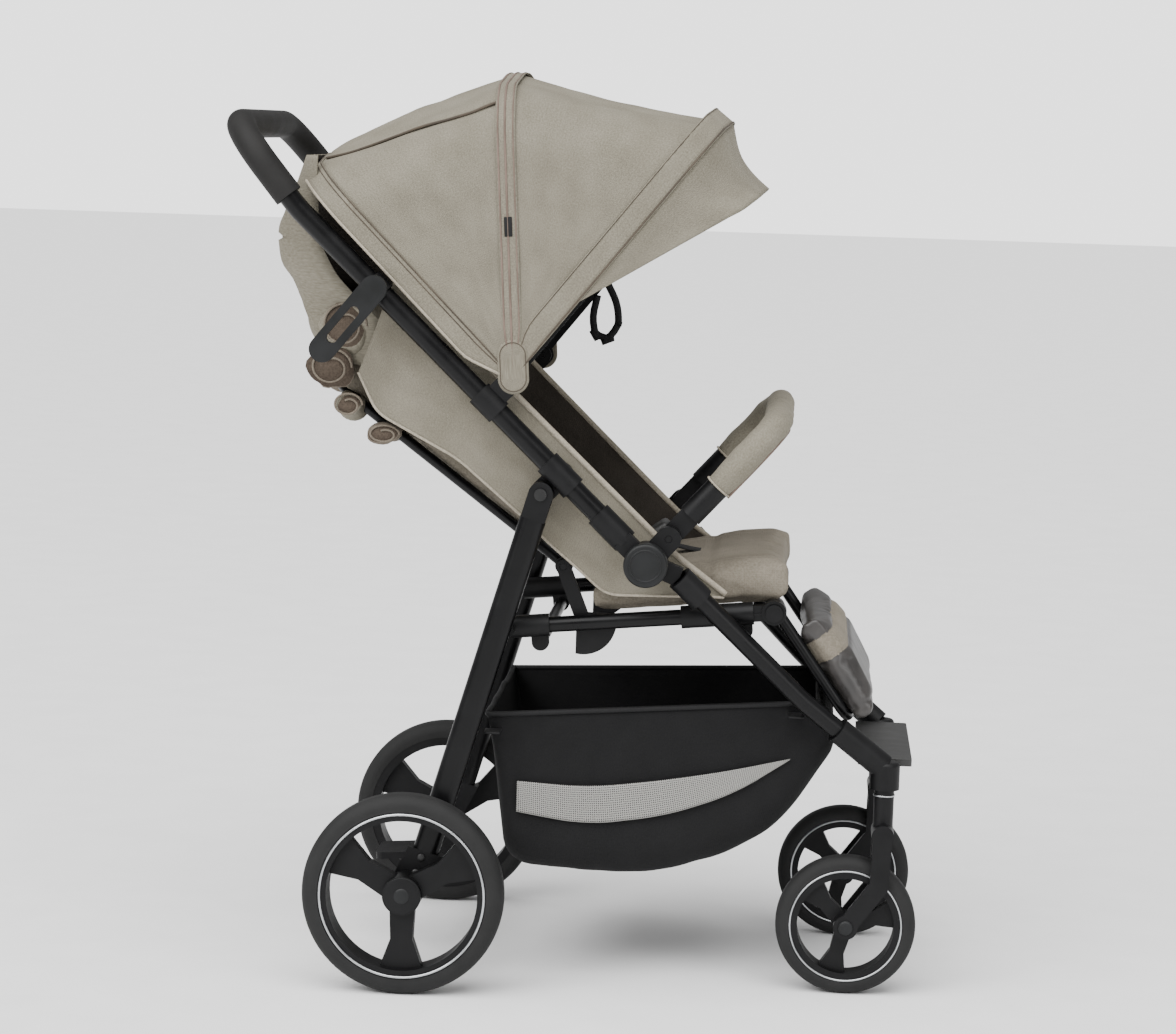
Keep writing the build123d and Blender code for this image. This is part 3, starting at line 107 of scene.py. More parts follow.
yaw, pitch, roll = (radians(angle) for angle in (CAMERA_YAW, CAMERA_PITCH, CAMERA_ROLL))
ahead = Vector((-sin(yaw) * cos(pitch), cos(yaw) * cos(pitch), -sin(pitch)))
level = Vector((cos(yaw), sin(yaw), 0))
above = level.cross(ahead)
across = level * cos(roll) + above * sin(roll)
upward = above * cos(roll) - level * sin(roll)
camera_data = bpy.data.cameras.new("studio_camera")
camera_data.lens = LENS
camera_data.shift_x, camera_data.shift_y = SHIFT
camera = bpy.data.objects.new("studio_camera", camera_data)
bpy.context.scene.collection.objects.link(camera)
turn = Matrix((across, upward, -ahead)).transposed().to_4x4()
camera.matrix_world = Matrix.Translation(at(*CAMERA_PLACE)) @ turn
bpy.context.scene.camera = camera
print("camera at", [round(v, 3) for v in camera.location])

# %% [markdown]
# ## Finishes
# Each finish starts from the real material. Colours are written as the sRGB hex values
# that a paint or fabric card would give, and one function makes them linear. One more
# function adds a node with its settings and links.

# %% Colour and node helpers


def to_linear(code):
    """An sRGB hex colour as linear red, green, blue and alpha."""
    parts = [int(code[i : i + 2], 16) / 255 for i in (1, 3, 5)]
    return (*[v / 12.92 if v <= 0.04045 else ((v + 0.055) / 1.055) ** 2.4 for v in parts], 1)


def add(tree, kind, inputs=None, **settings):
    """Adds a node: settings are its own choices, inputs are values or sockets to link."""
    node = tree.nodes.new(kind)
    for name, value in settings.items():
        setattr(node, name, value)
    for name, value in (inputs or {}).items():
        if isinstance(value, bpy.types.NodeSocket):
            tree.links.new(value, node.inputs[name])
        else:
            node.inputs[name].default_value = value
    return node


def finish(name, inputs):
    """A material with one Principled shader. Returns the material, its tree and the shader."""
    material = bpy.data.materials.new(name)
    material.use_nodes = True
    tree = material.node_tree
    shader = tree.nodes["Principled BSDF"]
    for socket, value in inputs.items():
        shader.inputs[socket].default_value = value
    return material, tree, shader


def in_mm(tree, uv=False):
    """Coordinates in millimetres, from the piece's own UV map or its Object space."""
    source = add(tree, "ShaderNodeTexCoord")
    out = source.outputs["UV" if uv else "Object"]
    return add(tree, "ShaderNodeMapping", {"Vector": out, "Scale": (1000,) * 3}).outputs["Vector"]


RAMP = (0.35, 0.65)  # where a noise's middle range starts and ends


def two_tone(tree, factor, dark, light):
    """A colour ramp between two hex colours."""
    ramp = add(tree, "ShaderNodeValToRGB", {"Fac": factor})
    for element, place, code in zip(ramp.color_ramp.elements, RAMP, (dark, light)):
        element.position, element.color = place, to_linear(code)
    return ramp.outputs["Color"]


def relief(tree, shader, height, depth_mm, strength=1.0):
    """Joins a height to the shader's normal, as bump of that depth in millimetres."""
    inputs = {"Height": height, "Distance": depth_mm * MM, "Strength": strength}
    bump = add(tree, "ShaderNodeBump", inputs)
    tree.links.new(bump.outputs["Normal"], shader.inputs["Normal"])


print("helpers ready")

# %% [markdown]
# The canopy, seat and wings are a melange polyester canvas: dyed and undyed threads are
# woven together, so that the taupe is broken up by lighter and darker flecks. Real
# threads are about 0.4 mm apart, too fine to show, so the weave is drawn at 1.3 mm.
# Polyester has an IOR near 1.5 and no gloss, and its loose fibres give a soft sheen.

# %% Woven cloth
THREAD_MM = 1.3
WAVE_RATE = 6.4  # twice the 3.2 waves that a Wave texture draws per unit: one per two threads
FLECK, CLOUD = 0.45, 0.02  # noise scales per millimetre: flecks of 2 mm, clouds of 50 mm


def woven(name, dark, light, uv, roughness=0.9, sheen=0.25, depth=0.25, thread=THREAD_MM):
    """A plain weave whose threads run along the UV map or the Object axes."""
    inputs = {"Roughness": roughness, "IOR": 1.5, "Sheen Weight": sheen, "Sheen Roughness": 0.5}
    inputs["Sheen Tint"] = to_linear(light)
    inputs["Specular IOR Level"] = 0.3
    material, tree, shader = finish(name, inputs)
    place = in_mm(tree, uv)
    waves = []
    for axis in ("X", "Y") if uv else ("X", "Z"):
        inputs = {"Vector": place, "Scale": 1 / (thread * WAVE_RATE)}
        inputs |= {"Distortion": 0.6, "Detail": 1.0}
        wave = add(tree, "ShaderNodeTexWave", inputs, bands_direction=axis)
        waves.append(wave.outputs["Fac"])
    weave = add(tree, "ShaderNodeMath", operation="MAXIMUM")
    tree.links.new(waves[0], weave.inputs[0])
    tree.links.new(waves[1], weave.inputs[1])
    fleck = add(tree, "ShaderNodeTexNoise", {"Vector": place, "Scale": FLECK, "Detail": 3.0})
    cloud = add(tree, "ShaderNodeTexNoise", {"Vector": place, "Scale": CLOUD, "Detail": 2.0})
    shade = add(tree, "ShaderNodeMix", {"Factor": 0.35}, data_type="FLOAT")
    tree.links.new(fleck.outputs["Fac"], shade.inputs["A"])
    tree.links.new(cloud.outputs["Fac"], shade.inputs["B"])
    colour = two_tone(tree, shade.outputs["Result"], dark, light)
    tree.links.new(colour, shader.inputs["Base Color"])
    both = add(tree, "ShaderNodeMath", {0: weave.outputs["Value"], 1: fleck.outputs["Fac"]})
    relief(tree, shader, both.outputs["Value"], depth, 0.6)
    return material


CANVAS = woven("melange_polyester_canvas", "#676255", "#7F7A6D", uv=True)
CANVAS_PAD = woven("melange_polyester_canvas_pad", "#655F53", "#7B7468", uv=False)
# a darker copy of the canvas with painted shade, for every second roll and the curled roll ends
CANVAS_PAINTED_SHADE = woven("shaded_canvas_flap", "#5A5248", "#746B5F", uv=True)
CANVAS_SHADE = woven("canvas_in_shadow", "#3A3129", "#4E443A", uv=False, sheen=0.1)
LINING = woven("grey_polyester_lining", "#2B2722", "#3D3832", uv=True, sheen=0.1)
BINDING = woven("twill_binding_tape", "#857E70", "#A39B8C", uv=False, thread=1.8, depth=0.2)
BASKET_CLOTH = woven("coated_black_oxford", "#09090A", "#121213", uv=True, sheen=0.02)
WEBBING = woven("black_nylon_webbing", "#0A0A0B", "#141415", uv=True, roughness=0.7, thread=2.0)
print("cloth finishes:", len(bpy.data.materials))

# %% [markdown]
# The leg rest's wipe-clean part is polyurethane leatherette: a fine pebble grain with a
# satin top coat. The gloss share is the Specular IOR Level: the black finishes have less
# than the physical 0.5, a choice that keeps them dark. The basket window is
# a knitted polyester mesh: its holes are about 2 mm apart and show what is behind them,
# so the alpha cuts them.

# %% Leatherette and mesh


GLOSS_SPREAD = 0.06  # how far the roughness varies each way


def grained(name, dark, light, grain_mm, roughness, depth, **more):
    """A moulded or coated surface with a pebble grain and slightly uneven gloss."""
    inputs = {"IOR": more.get("ior", 1.5), "Metallic": more.get("metallic", 0.0)}
    inputs |= {"Coat Weight": more.get("coat", 0.0), "Coat Roughness": 0.3}
    inputs["Specular IOR Level"] = more.get("gloss_share", 0.5)
    material, tree, shader = finish(name, inputs)
    place = in_mm(tree)
    grain = add(tree, "ShaderNodeTexNoise", {"Vector": place, "Scale": 1 / grain_mm, "Detail": 2})
    cloud = add(tree, "ShaderNodeTexNoise", {"Vector": place, "Scale": 0.03, "Detail": 4.0})
    colour = two_tone(tree, cloud.outputs["Fac"], dark, light)
    tree.links.new(colour, shader.inputs["Base Color"])
    inputs = {"Value": cloud.outputs["Fac"], "From Min": 0.3, "From Max": 0.7}
    inputs |= {"To Min": roughness - GLOSS_SPREAD, "To Max": roughness + GLOSS_SPREAD}
    gloss = add(tree, "ShaderNodeMapRange", inputs)
    tree.links.new(gloss.outputs["Result"], shader.inputs["Roughness"])
    relief(tree, shader, grain.outputs["Fac"], depth, 0.5)
    return material


LEATHERETTE = grained("pu_leatherette", "#262423", "#363331", 1.4, 0.42, 0.25, coat=0.15)


def mesh_cloth(name, code, hole_mm):
    """A knitted mesh: round holes in rows, cut by the alpha."""
    inputs = {"Base Color": to_linear(code), "Roughness": 0.8, "IOR": 1.5}
    material, tree, shader = finish(name, inputs)
    place = in_mm(tree, uv=True)
    inputs = {"Vector": place, "Scale": 1 / hole_mm, "Randomness": 0.15}
    cells = add(tree, "ShaderNodeTexVoronoi", inputs, voronoi_dimensions="2D")
    open_part = add(
        tree, "ShaderNodeMath", {0: cells.outputs["Distance"], 1: 0.3}, operation="GREATER_THAN"
    )
    tree.links.new(open_part.outputs["Value"], shader.inputs["Alpha"])
    relief(tree, shader, cells.outputs["Distance"], 0.3, 0.5)
    return material


MESH_WINDOW = mesh_cloth("knitted_polyester_mesh", "#8F8E8A", 2.4)
print("leatherette and mesh ready")

# %% [markdown]
# The frame is aluminium tube under a satin black powder coat: cured powder leaves an
# orange-peel skin with waves 1 to 2 mm wide, and a broad soft highlight. The hubs,
# sleeves and knuckles are glass-filled nylon, moulded with a spark-eroded grain of about
# half a millimetre, so they look duller. Both are dielectrics with an IOR near 1.5. The
# wheel trims are satin aluminium, the tyres and the grip are closed-cell foam.

# %% Frame, plastics, rubber and metal
POWDER_COAT = grained(
    "satin_black_powder_coat", "#050506", "#0A0A0B", 1.6, 0.33, 0.03, gloss_share=0.2
)
NYLON = grained(
    "moulded_glass_filled_nylon", "#080809", "#0F0F10", 0.6, 0.48, 0.06, gloss_share=0.2
)
HUB_NYLON = grained(
    "moulded_grey_black_nylon", "#0F1010", "#18191A", 0.6, 0.46, 0.06, gloss_share=0.25
)
GREY_ABS = grained("moulded_charcoal_abs", "#1B1B1A", "#262625", 0.7, 0.48, 0.06, ior=1.53)
TYRE = grained("eva_foam_tyre", "#151515", "#1E1E1E", 0.9, 0.75, 0.2, gloss_share=0.3)
GRIP = grained("closed_cell_grip_foam", "#0E0D0C", "#191817", 1.1, 0.7, 0.3, gloss_share=0.3)
SATIN_RING = grained("satin_aluminium_trim", "#A7A9AB", "#C4C6C8", 1.2, 0.35, 0.01, metallic=1.0)
ZIP_TAPE = grained("rose_brown_zip_tape", "#5C4C42", "#76645A", 1.2, 0.8, 0.2)
SEAM = grained("dark_seam_thread", "#393128", "#4C4338", 1.0, 0.85, 0.1)
RIVET = grained("black_zinc_rivet", "#252525", "#3A3A3A", 0.9, 0.35, 0.02, metallic=0.6)
print("finishes:", len(bpy.data.materials))

# %% [markdown]
# ## Making pieces
# Cloth is a grid with a UV map in metres, laid over a surface point by point, so that the
# weave follows it. A tube is the same grid rolled round a line. Both start from
# `create_grid` and let Blender merge, recalculate and thicken.

# %% Piece helpers
WALL = 1.6 * MM


def piece(name, mesh_maker, finishes, body=None):
    """Turns a bmesh into an object at the origin that rides on a CAD body."""
    mesh = bpy.data.meshes.new(name)
    mesh_maker.to_mesh(mesh)
    mesh_maker.free()
    obj = bpy.data.objects.new(name, mesh)
    bpy.context.scene.collection.objects.link(obj)
    for material in finishes:
        mesh.materials.append(material)
    mesh.polygons.foreach_set("use_smooth", [True] * len(mesh.polygons))
    if body:
        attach(obj, body)
    return obj


def face_out(shape, centre):
    """Turns the faces of an open sheet so that they point away from a place."""
    bmesh.ops.recalc_face_normals(shape, faces=shape.faces)
    tally = sum(f.normal.dot(f.calc_center_median() - centre) * f.calc_area() for f in shape.faces)
    if tally < 0:
        bmesh.ops.reverse_faces(shape, faces=shape.faces)


def laid(size, steps, surface, centre=None, merge=False):
    """A grid of steps (across, along) over a surface(s, t), with its UV map in metres."""
    shape = bmesh.new()
    bmesh.ops.create_grid(
        shape, x_segments=steps[0], y_segments=steps[1], size=0.5, calc_uvs=False
    )
    uv = shape.loops.layers.uv.new("UVMap")
    for face in shape.faces:
        for loop in face.loops:
            s, t = loop.vert.co.x + 0.5, loop.vert.co.y + 0.5
            loop[uv].uv = (s * size[0], t * size[1])
    for vert in shape.verts:
        vert.co = surface(min(max(vert.co.x + 0.5, 0), 1), min(max(vert.co.y + 0.5, 0), 1))
    if merge:
        bmesh.ops.remove_doubles(shape, verts=shape.verts, dist=0.00002)
    if centre is not None:
        face_out(shape, centre)
    return shape


def thicken(obj, wall=WALL, offset=-1.0, lining=0):
    """Gives a sheet its thickness; the inner side takes the material after it."""
    solid = obj.modifiers.new("thickness", "SOLIDIFY")
    solid.thickness, solid.offset = wall, offset
    solid.material_offset = lining
    solid.use_even_offset = True
    return obj


def smoothed(obj, levels=1):
    """Adds a subdivision surface with the same level in the view and the render."""
    subdivision = obj.modifiers.new("smooth", "SUBSURF")
    subdivision.levels = subdivision.render_levels = levels
    return obj


def line_length(points):
    """The length of a line through points."""
    return sum((b - a).length for a, b in zip(points, points[1:]))


def on_line(points, share):
    """The point at that share of a line's length, and the line's direction there."""
    left = max(min(share, 1), 0) * line_length(points)
    for a, b in zip(points, points[1:]):
        run = (b - a).length
        if left <= run and run > 0:
            return a.lerp(b, left / run), (b - a).normalized()
        left -= run
    return points[-1].copy(), (points[-1] - points[-2]).normalized()


def rounded(points, trims, steps=8):
    """A line whose corners are softened by a curve that starts trims before each one."""
    pull = 0.55  # a share that makes the curve nearly an arc
    out = [points[0]]
    for corner, before, after, trim in zip(points[1:], points, points[2:], trims):
        start = corner + (before - corner).normalized() * trim
        end = corner + (after - corner).normalized() * trim
        out += geometry.interpolate_bezier(
            start, start.lerp(corner, pull), end.lerp(corner, pull), end, steps
        )
    return [*out, points[-1]]


SIDEWAYS = Vector((0, 1, 0))


def rolled(points, radius, steps=(12, 40), squeeze=1.0, up=SIDEWAYS, wobble=None):
    """A tube round a line: radius may be a function of the share along it."""
    width = line_length(points)
    girth = 2 * pi * (radius(0.5) if callable(radius) else radius)

    def surface(s, t):
        middle, ahead_way = on_line(points, t)
        side = ahead_way.cross(up).normalized()
        rise = side.cross(ahead_way)
        reach = radius(t) if callable(radius) else radius
        angle = 2 * pi * s
        way = side * cos(angle) + rise * sin(angle) * squeeze
        spot = middle + way * reach
        return spot + (way * wobble(spot) if wobble else way * 0)

    shape = laid((girth, width), steps, surface, merge=True)
    ends = [e for e in shape.edges if e.is_boundary]
    bmesh.ops.holes_fill(shape, edges=ends, sides=0)
    bmesh.ops.recalc_face_normals(shape, faces=shape.faces)
    return shape


def cordlet(name, points, radius, material, body, steps=(8, 60), up=SIDEWAYS):
    """A thin round piece along a line: piping, a seam or a stitched edge."""
    return piece(name, rolled(points, radius, steps, up=up), [material], body)


def crumple(place, size, depth, seed):
    """A smooth random height for folds about that size."""
    spot = place / size + Vector((seed, seed * 1.7, -seed))
    return noise.noise(spot) * depth + noise.noise(spot * 2.3) * depth * 0.4


print("piece helpers ready")

# %% [markdown]
# ## The canopy
# The hood is one continuous canvas stretched over four hoops that turn on one pivot. Each
# hoop is an arch: straight up the side, round a shoulder and flat over the top. The cloth
# between two hoops is a ruled surface with a slight sag, because woven canvas can't
# stretch both ways. Two neighbouring panels share the same arch, so no gap shows.

# %% Hoops
PIVOT = PIVOTS["canopy_fold"]
CANOPY_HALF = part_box("canopy_front_panel")[1].y
HOOPS = {"rear": (134.8, 322, 344), "mid": (93.6, 321, 346), "front": (51.6, 357, 375)}
HOOPS["visor"] = (38.2, 340, 353)  # angle, reach at the side and at the crown, in mm
SHOULDER, CROWN_TRIM, FOOT = 64, 60, 13  # mm


def hoop_line(hoop, lift=0.0, foot=FOOT):
    """Points (y, reach) of a hoop from its right foot over the crown to its left foot."""
    side, crown = hoop[1] + lift, hoop[2] + lift
    half = CANOPY_HALF / MM + min(lift, 1.5)
    corners = [(-half, foot), (-half, side), (0, crown), (half, side), (half, foot)]
    points = [Vector((y, reach, 0)) for y, reach in corners]
    return rounded(points, [SHOULDER, CROWN_TRIM, SHOULDER])


def hoop_place(hoop, spot):
    """Where a point (y, reach) of a hoop's arch stands."""
    return PIVOT + heading(hoop[0]) * spot.y * MM + Vector((0, spot.x * MM, 0))


def hoop_point(hoop, s, lift=0.0, foot=FOOT):
    """The point of a hoop at a share s of its length."""
    return hoop_place(hoop, on_line(hoop_line(hoop, lift, foot), s)[0])


def hoop_reach(s):
    """0 at a hoop's feet, 1 over its crown."""
    return min(max(sin(pi * s) * 1.25 - 0.15, 0), 1)


EDGE_SHARE = 0.18  # share of the way in from a hoop over which the creases fade in


def canopy_surface(rear, front, sag, wrinkle, seed):
    """Canvas between two hoops: straight from hoop to hoop, and drawn in between them."""
    rear_line, front_line = hoop_line(rear), hoop_line(front)

    def surface(s, t):
        a, b = on_line(rear_line, s)[0], on_line(front_line, s)[0]
        spot = hoop_place(rear, a).lerp(hoop_place(front, b), t)
        inward = (PIVOT - spot).normalized()
        belly = sin(pi * t) * hoop_reach(s)
        spot += inward * belly * sag * MM
        edge = min(t, 1 - t, EDGE_SHARE) / EDGE_SHARE
        return spot + inward * edge * crumple(spot, 0.09, wrinkle * MM, seed)

    return surface


def hoop_length(hoop):
    """A hoop's length in metres."""
    return line_length(hoop_line(hoop)) * MM


CANOPY_CENTRE = PIVOT + heading(90) * 0.12
print("hoop lengths:", {name: round(hoop_length(hoop), 3) for name, hoop in HOOPS.items()})

# %% [markdown]
# Each panel prints the size it was cut to and its area.

# %% Canopy panels
SPAN_STEPS = 96
PANEL_STEPS = 26
BLEND_REACH = 0.21  # metres from the pivot along each hoop
REAR_CUT = (7, 3.0, 1.0)  # how far it is drawn in and creased, in mm, and a seed
FRONT_CUT = (5, 2.4, 5.0)


def panel_area(shape):
    """The area of an open sheet, in square metres."""
    return sum(face.calc_area() for face in shape.faces)


def canopy_panel(name, rear, front, replaced, cut):
    """One canvas panel between two hoops."""
    width = hoop_length(HOOPS[rear])
    rise = (hoop_point(HOOPS[rear], 0.5) - hoop_point(HOOPS[front], 0.5)).length
    surface = canopy_surface(HOOPS[rear], HOOPS[front], *cut)
    shape = laid((width, rise), (SPAN_STEPS, PANEL_STEPS), surface, CANOPY_CENTRE)
    area = panel_area(shape)
    obj = piece(name, shape, [CANVAS, LINING])
    thicken(obj, lining=1)
    start = PIVOT + heading(HOOPS[rear][0]) * BLEND_REACH
    end = PIVOT + heading(HOOPS[front][0]) * BLEND_REACH
    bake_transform(obj)
    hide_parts(replaced)
    print(name, "cut", round(width, 3), "x", round(rise, 3), "m, area", round(area, 3))


canopy_panel("canopy_cloth_rear", "rear", "mid", "canopy_rear_panel", REAR_CUT)
canopy_panel("canopy_cloth_front", "mid", "front", "canopy_front_panel", FRONT_CUT)

# %% [markdown]
# The visor is cut on a curve. It leaves the front hoop about 110 mm up from the pivot and
# runs out to its own stiff hem, so its side edge is one straight line, and its free edge
# is pulled into a hollow between hoop and hem.

# %% Visor
VISOR_START = 111  # mm up the front hoop from the pivot
VISOR_HOLLOW = 11  # mm that its middle is pulled in
HEM_FOOT = 200  # mm from the pivot, where the hem's line starts
CORNER = 0.36  # share of the way from a foot to the crown where the hem is straight


def visor_surface(s, t):
    """Canvas from the front hoop to the visor's hem."""
    front = hoop_point(HOOPS["front"], s, foot=VISOR_START)
    share = 1 - abs(2 * s - 1)
    root = hoop_point(HOOPS["front"], 0.0 if s < 0.5 else 1.0, foot=VISOR_START)
    lip = hoop_point(HOOPS["visor"], s, foot=HEM_FOOT)
    if share < CORNER:
        turn_at = CORNER / 2 if s < 0.5 else 1 - CORNER / 2
        lip = root.lerp(hoop_point(HOOPS["visor"], turn_at, foot=HEM_FOOT), share / CORNER)
    spot = front.lerp(lip, t)
    inward = (PIVOT - spot).normalized()
    hollow = sin(pi * t) * hoop_reach(s)
    spot += inward * hollow * VISOR_HOLLOW * MM
    return spot + inward * sin(pi * t) * crumple(spot, 0.07, 2 * MM, 9.0)


visor_width = line_length(hoop_line(HOOPS["front"], foot=VISOR_START)) * MM
visor_rise = (hoop_point(HOOPS["front"], 0.5) - hoop_point(HOOPS["visor"], 0.5)).length
visor_shape = laid((visor_width, visor_rise), (SPAN_STEPS, 14), visor_surface, CANOPY_CENTRE)
visor_area = panel_area(visor_shape)
visor = thicken(piece("canopy_cloth_visor", visor_shape, [CANVAS, LINING]), lining=1)
visor_ends = [PIVOT + heading(HOOPS[hoop][0]) * 0.3 for hoop in ("front", "visor")]
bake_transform(visor)
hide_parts("canopy_visor", "canopy_visor_rib")
print("visor cut", round(visor_width, 3), "x", round(visor_rise, 3), "area", round(visor_area, 4))

# %% [markdown]
# Bands of the same canvas are sewn over the hoops. The one on the middle hoop carries a
# zip, covered by rose-brown tape; the one behind the front hoop is a double-stitched
# sleeve. A band is a narrow strip that follows its hoop a millimetre proud of the canvas.

# %% Hoop bands and their stitching
BAND_LIFT = 1.2  # mm
THREAD_STEPS = 90


def hoop_strip(hoop, start, end, lift):
    """A strip round a hoop, from start to end mm ahead of it."""
    line = hoop_line(hoop, lift)
    along_way = heading(hoop[0] - 90)

    def surface(s, t):
        spot = on_line(line, s)[0]
        narrow = min(1.0, (spot.y + 6) / 60)  # the strip tapers towards the pivot
        return hoop_place(hoop, spot) + along_way * mix(start, end, t) * narrow * MM

    return surface


def hoop_thread(hoop, offset, lift):
    """The points of a line of stitching, offset mm ahead of a hoop."""
    surface = hoop_strip(hoop, offset, offset, lift)
    return [surface(i / THREAD_STEPS, 0) for i in range(THREAD_STEPS + 1)]


def band(name, hoop, start, end, body, threads, lift=BAND_LIFT):
    """A sewn band with its threads: (offset, radius, material)."""
    width = (end - start) * MM
    length = line_length(hoop_line(HOOPS[hoop])) * MM
    surface = hoop_strip(HOOPS[hoop], start, end, lift)
    shape = laid((length, width), (SPAN_STEPS, 4), surface, CANOPY_CENTRE)
    strip = thicken(piece(name, shape, [CANVAS], body), wall=1.2 * MM)
    for number, (offset, radius, thread_finish) in enumerate(threads, 1):
        line = hoop_thread(HOOPS[hoop], offset, lift)
        square = heading(HOOPS[hoop][0] - 90)
        cordlet(f"{name}_thread_{number}", line, radius * MM, thread_finish, body, (6, 90), square)


zip_threads = [(-8.5, 1.1, ZIP_TAPE), (-0.5, 1.3, ZIP_TAPE), (8.5, 0.8, ZIP_TAPE)]
band("canopy_zip_band", "mid", -11, 11, "canopy_mid", zip_threads)
sleeve_threads = [(-25.5, 0.6, SEAM), (-1.0, 1.1, SEAM)]
band("canopy_front_sleeve", "front", -27, 1, "canopy_front", sleeve_threads)
print("bands sewn")

# %% [markdown]
# The hood's rear edge is faced with a strip that lies beside the push tube and ends in a
# light binding. Over the crown, a window flap is folded down across the rear panel: a
# second layer that bulges a little, with a dark stitched edge.

# %% Rear edge and window flap
edge_threads = [(1.0, 0.9, SEAM), (-4.0, 0.7, SEAM), (-23.5, 1.8, BINDING)]
band("canopy_rear_edge", "rear", -25, 2, "push_frame", edge_threads, lift=0.6)
FLAP_HALF = (0.135, 0.20)  # share of the hoop's length, at the rear and at the front
FLAP_REACH = (0.03, 0.955)  # share of the way from the rear hoop to the middle one
FLAP_GAP, FLAP_SWELL = 3.0, 12.0  # mm over the panel at the edges, and more in the middle


def flap_surface(s, t, lift=1.0):
    """The flap over the rear panel, lifted most along its middle."""
    reach = mix(*FLAP_REACH, t)
    half = mix(*FLAP_HALF, reach)
    place = 0.5 + (2 * s - 1) * half
    spot = canopy_surface(HOOPS["rear"], HOOPS["mid"], *REAR_CUT)(place, reach)
    outward_way = (spot - PIVOT).normalized()
    swell = FLAP_GAP + FLAP_SWELL * sin(pi * t**0.8) ** 1.2 * min(1, 3.2 * min(s, 1 - s))
    return spot + outward_way * (swell * lift + crumple(spot, 0.06, 2.0, 3.0)) * MM


flap_width = 2 * mix(*FLAP_HALF, 0.5) * hoop_length(HOOPS["rear"])
flap_shape = laid((flap_width, 0.22), (48, 24), flap_surface, CANOPY_CENTRE)
flap_area = panel_area(flap_shape)
flap = thicken(piece("canopy_window_flap", flap_shape, [CANVAS, CANVAS]))
FLAP_BLEND = [PIVOT + heading(HOOPS[hoop][0]) * BLEND_REACH for hoop in ("rear", "mid")]
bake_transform(flap)
for name, s in (("right", 0.0), ("left", 1.0)):
    line = [flap_surface(s, i / 40, 0.6) for i in range(41)]
    edge = piece(f"canopy_flap_edge_{name}", rolled(line, 1.6 * MM, (8, 50)), [SEAM])
    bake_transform(edge)
print("flap area", round(flap_area, 4))

# %% [markdown]
# Behind the hood a curtain hangs to the top of the backrest. It is loose, so it folds
# softly, and its lower part is rolled up into crumpled rolls that sit on the backrest's
# upper end.

# %% Rear curtain
CURTAIN_LINE = [(-140, 942), (-166, 868), (-170, 832), (-132, 742), (-112, 706)]
CURTAIN_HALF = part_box("canopy_rear_curtain")[1].y
CURTAIN_PATH = rounded([at(x, z) for x, z in CURTAIN_LINE], [0.02, 0.018, 0.03])
CURTAIN_TURN = 0.16  # share of the half width that turns forward
TURN_REACH = (16, 104)  # mm that the side edge turns forward, at the top and at the foot


def curtain_surface(s, t):
    """Loose cloth: its sides turn forward towards the push tube and it folds as it drops."""
    spot, way = on_line(CURTAIN_PATH, t)
    y = (2 * s - 1) * CURTAIN_HALF
    turned_in = max(0, abs(2 * s - 1) - (1 - CURTAIN_TURN)) / CURTAIN_TURN
    forward = turned_in**1.8 * mix(*TURN_REACH, t) * MM
    spot = spot + Vector((forward, y * (1 - 0.015 * turned_in), 0))
    folds = sin(s * 21 + t * 3) * 3.0 * t
    folds += crumple(spot + Vector((0, y, 0)), 0.05, 7.0 * (0.3 + t), 4.0)
    return spot - way.cross(SIDEWAYS) * folds * MM


curtain_size = (2 * CURTAIN_HALF, line_length(CURTAIN_PATH))
curtain_shape = laid(curtain_size, (80, 44), curtain_surface, at(0, 800))
curtain_area = panel_area(curtain_shape)
curtain = piece("rear_curtain_cloth", curtain_shape, [CANVAS, LINING], "push_frame")
thicken(curtain, lining=1)
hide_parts("canopy_rear_curtain")
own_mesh(curtain)

# %% [markdown]
# The rolls are tubes across the stroller that sag in the middle. Their radius wanders
# and their skin is creased, so that they read as loosely rolled cloth. A cord curls
# inwards at each open end, like the edge of the cloth.

# %% Rolled flaps behind the backrest
ROLLS = (  # place, radius, flatness, how far it sags towards the middle
    ("upper", (-90, 752), 25, 1.0, 4),
    ("middle", (-104, 704), 23, 0.9, 6),
    ("lower", (-84, 662), 16, 0.8, 8),
    ("tail", (-42, 630), 17, 0.6, 6),
)
ROLL_HALF = 181  # mm from the middle plane to a roll's end
CURL, CURL_DEPTH = 495, 0.62  # degrees that the edge curls round, and how far in it goes


def roll_line(x, z, sag):
    """A slightly slack line across the stroller."""
    places = [-1 + i / 12 for i in range(25)]
    return [at(x, z - sag * (1 - p * p), p * ROLL_HALF) for p in places]


for number, (name, place, radius, flat, sag) in enumerate(ROLLS):
    line = roll_line(*place, sag)

    def puff(share, size=radius, count=number):
        return size * MM * (1 + 0.16 * sin(share * 23 + count * 2) + 0.1 * sin(share * 61))

    def folds(spot, depth=radius, count=number):
        return crumple(spot, 0.03, depth * 0.4 * MM, 2.0 + count)

    shape = rolled(line, puff, (26, 90), squeeze=flat, up=Vector((0, 0, 1)), wobble=folds)
    # every second roll takes the copy of the canvas with painted shade
    finishes = [CANVAS_PAINTED_SHADE if number % 2 else CANVAS, CANVAS_SHADE]
    roll = piece(f"rolled_flap_{name}", shape, finishes, "push_frame")
    for face in roll.data.polygons:
        if abs(face.normal.y) > 0.9 and len(face.vertices) > 4:
            face.material_index = 1  # the shadowed open end
    for side_name, side in SIDES.items():
        rim = []
        for a in range(0, CURL, 15):
            reach = (radius + 0.5) * (1 - CURL_DEPTH * (a / CURL) ** 1.8)
            x_off, z_off = reach * cos(radians(a)), reach * flat * sin(radians(a))
            rim.append(at(place[0] + x_off, place[1] + z_off, side * (ROLL_HALF + 0.5)))
        rim_name = f"rolled_flap_{name}_rim_{side_name}"
        # the curled edge at each roll end is in the copy of the canvas with painted shade
        cordlet(rim_name, rim, 1.3 * MM, CANVAS_PAINTED_SHADE, "push_frame", (6, 80))
print("rolled flaps:", len(ROLLS))
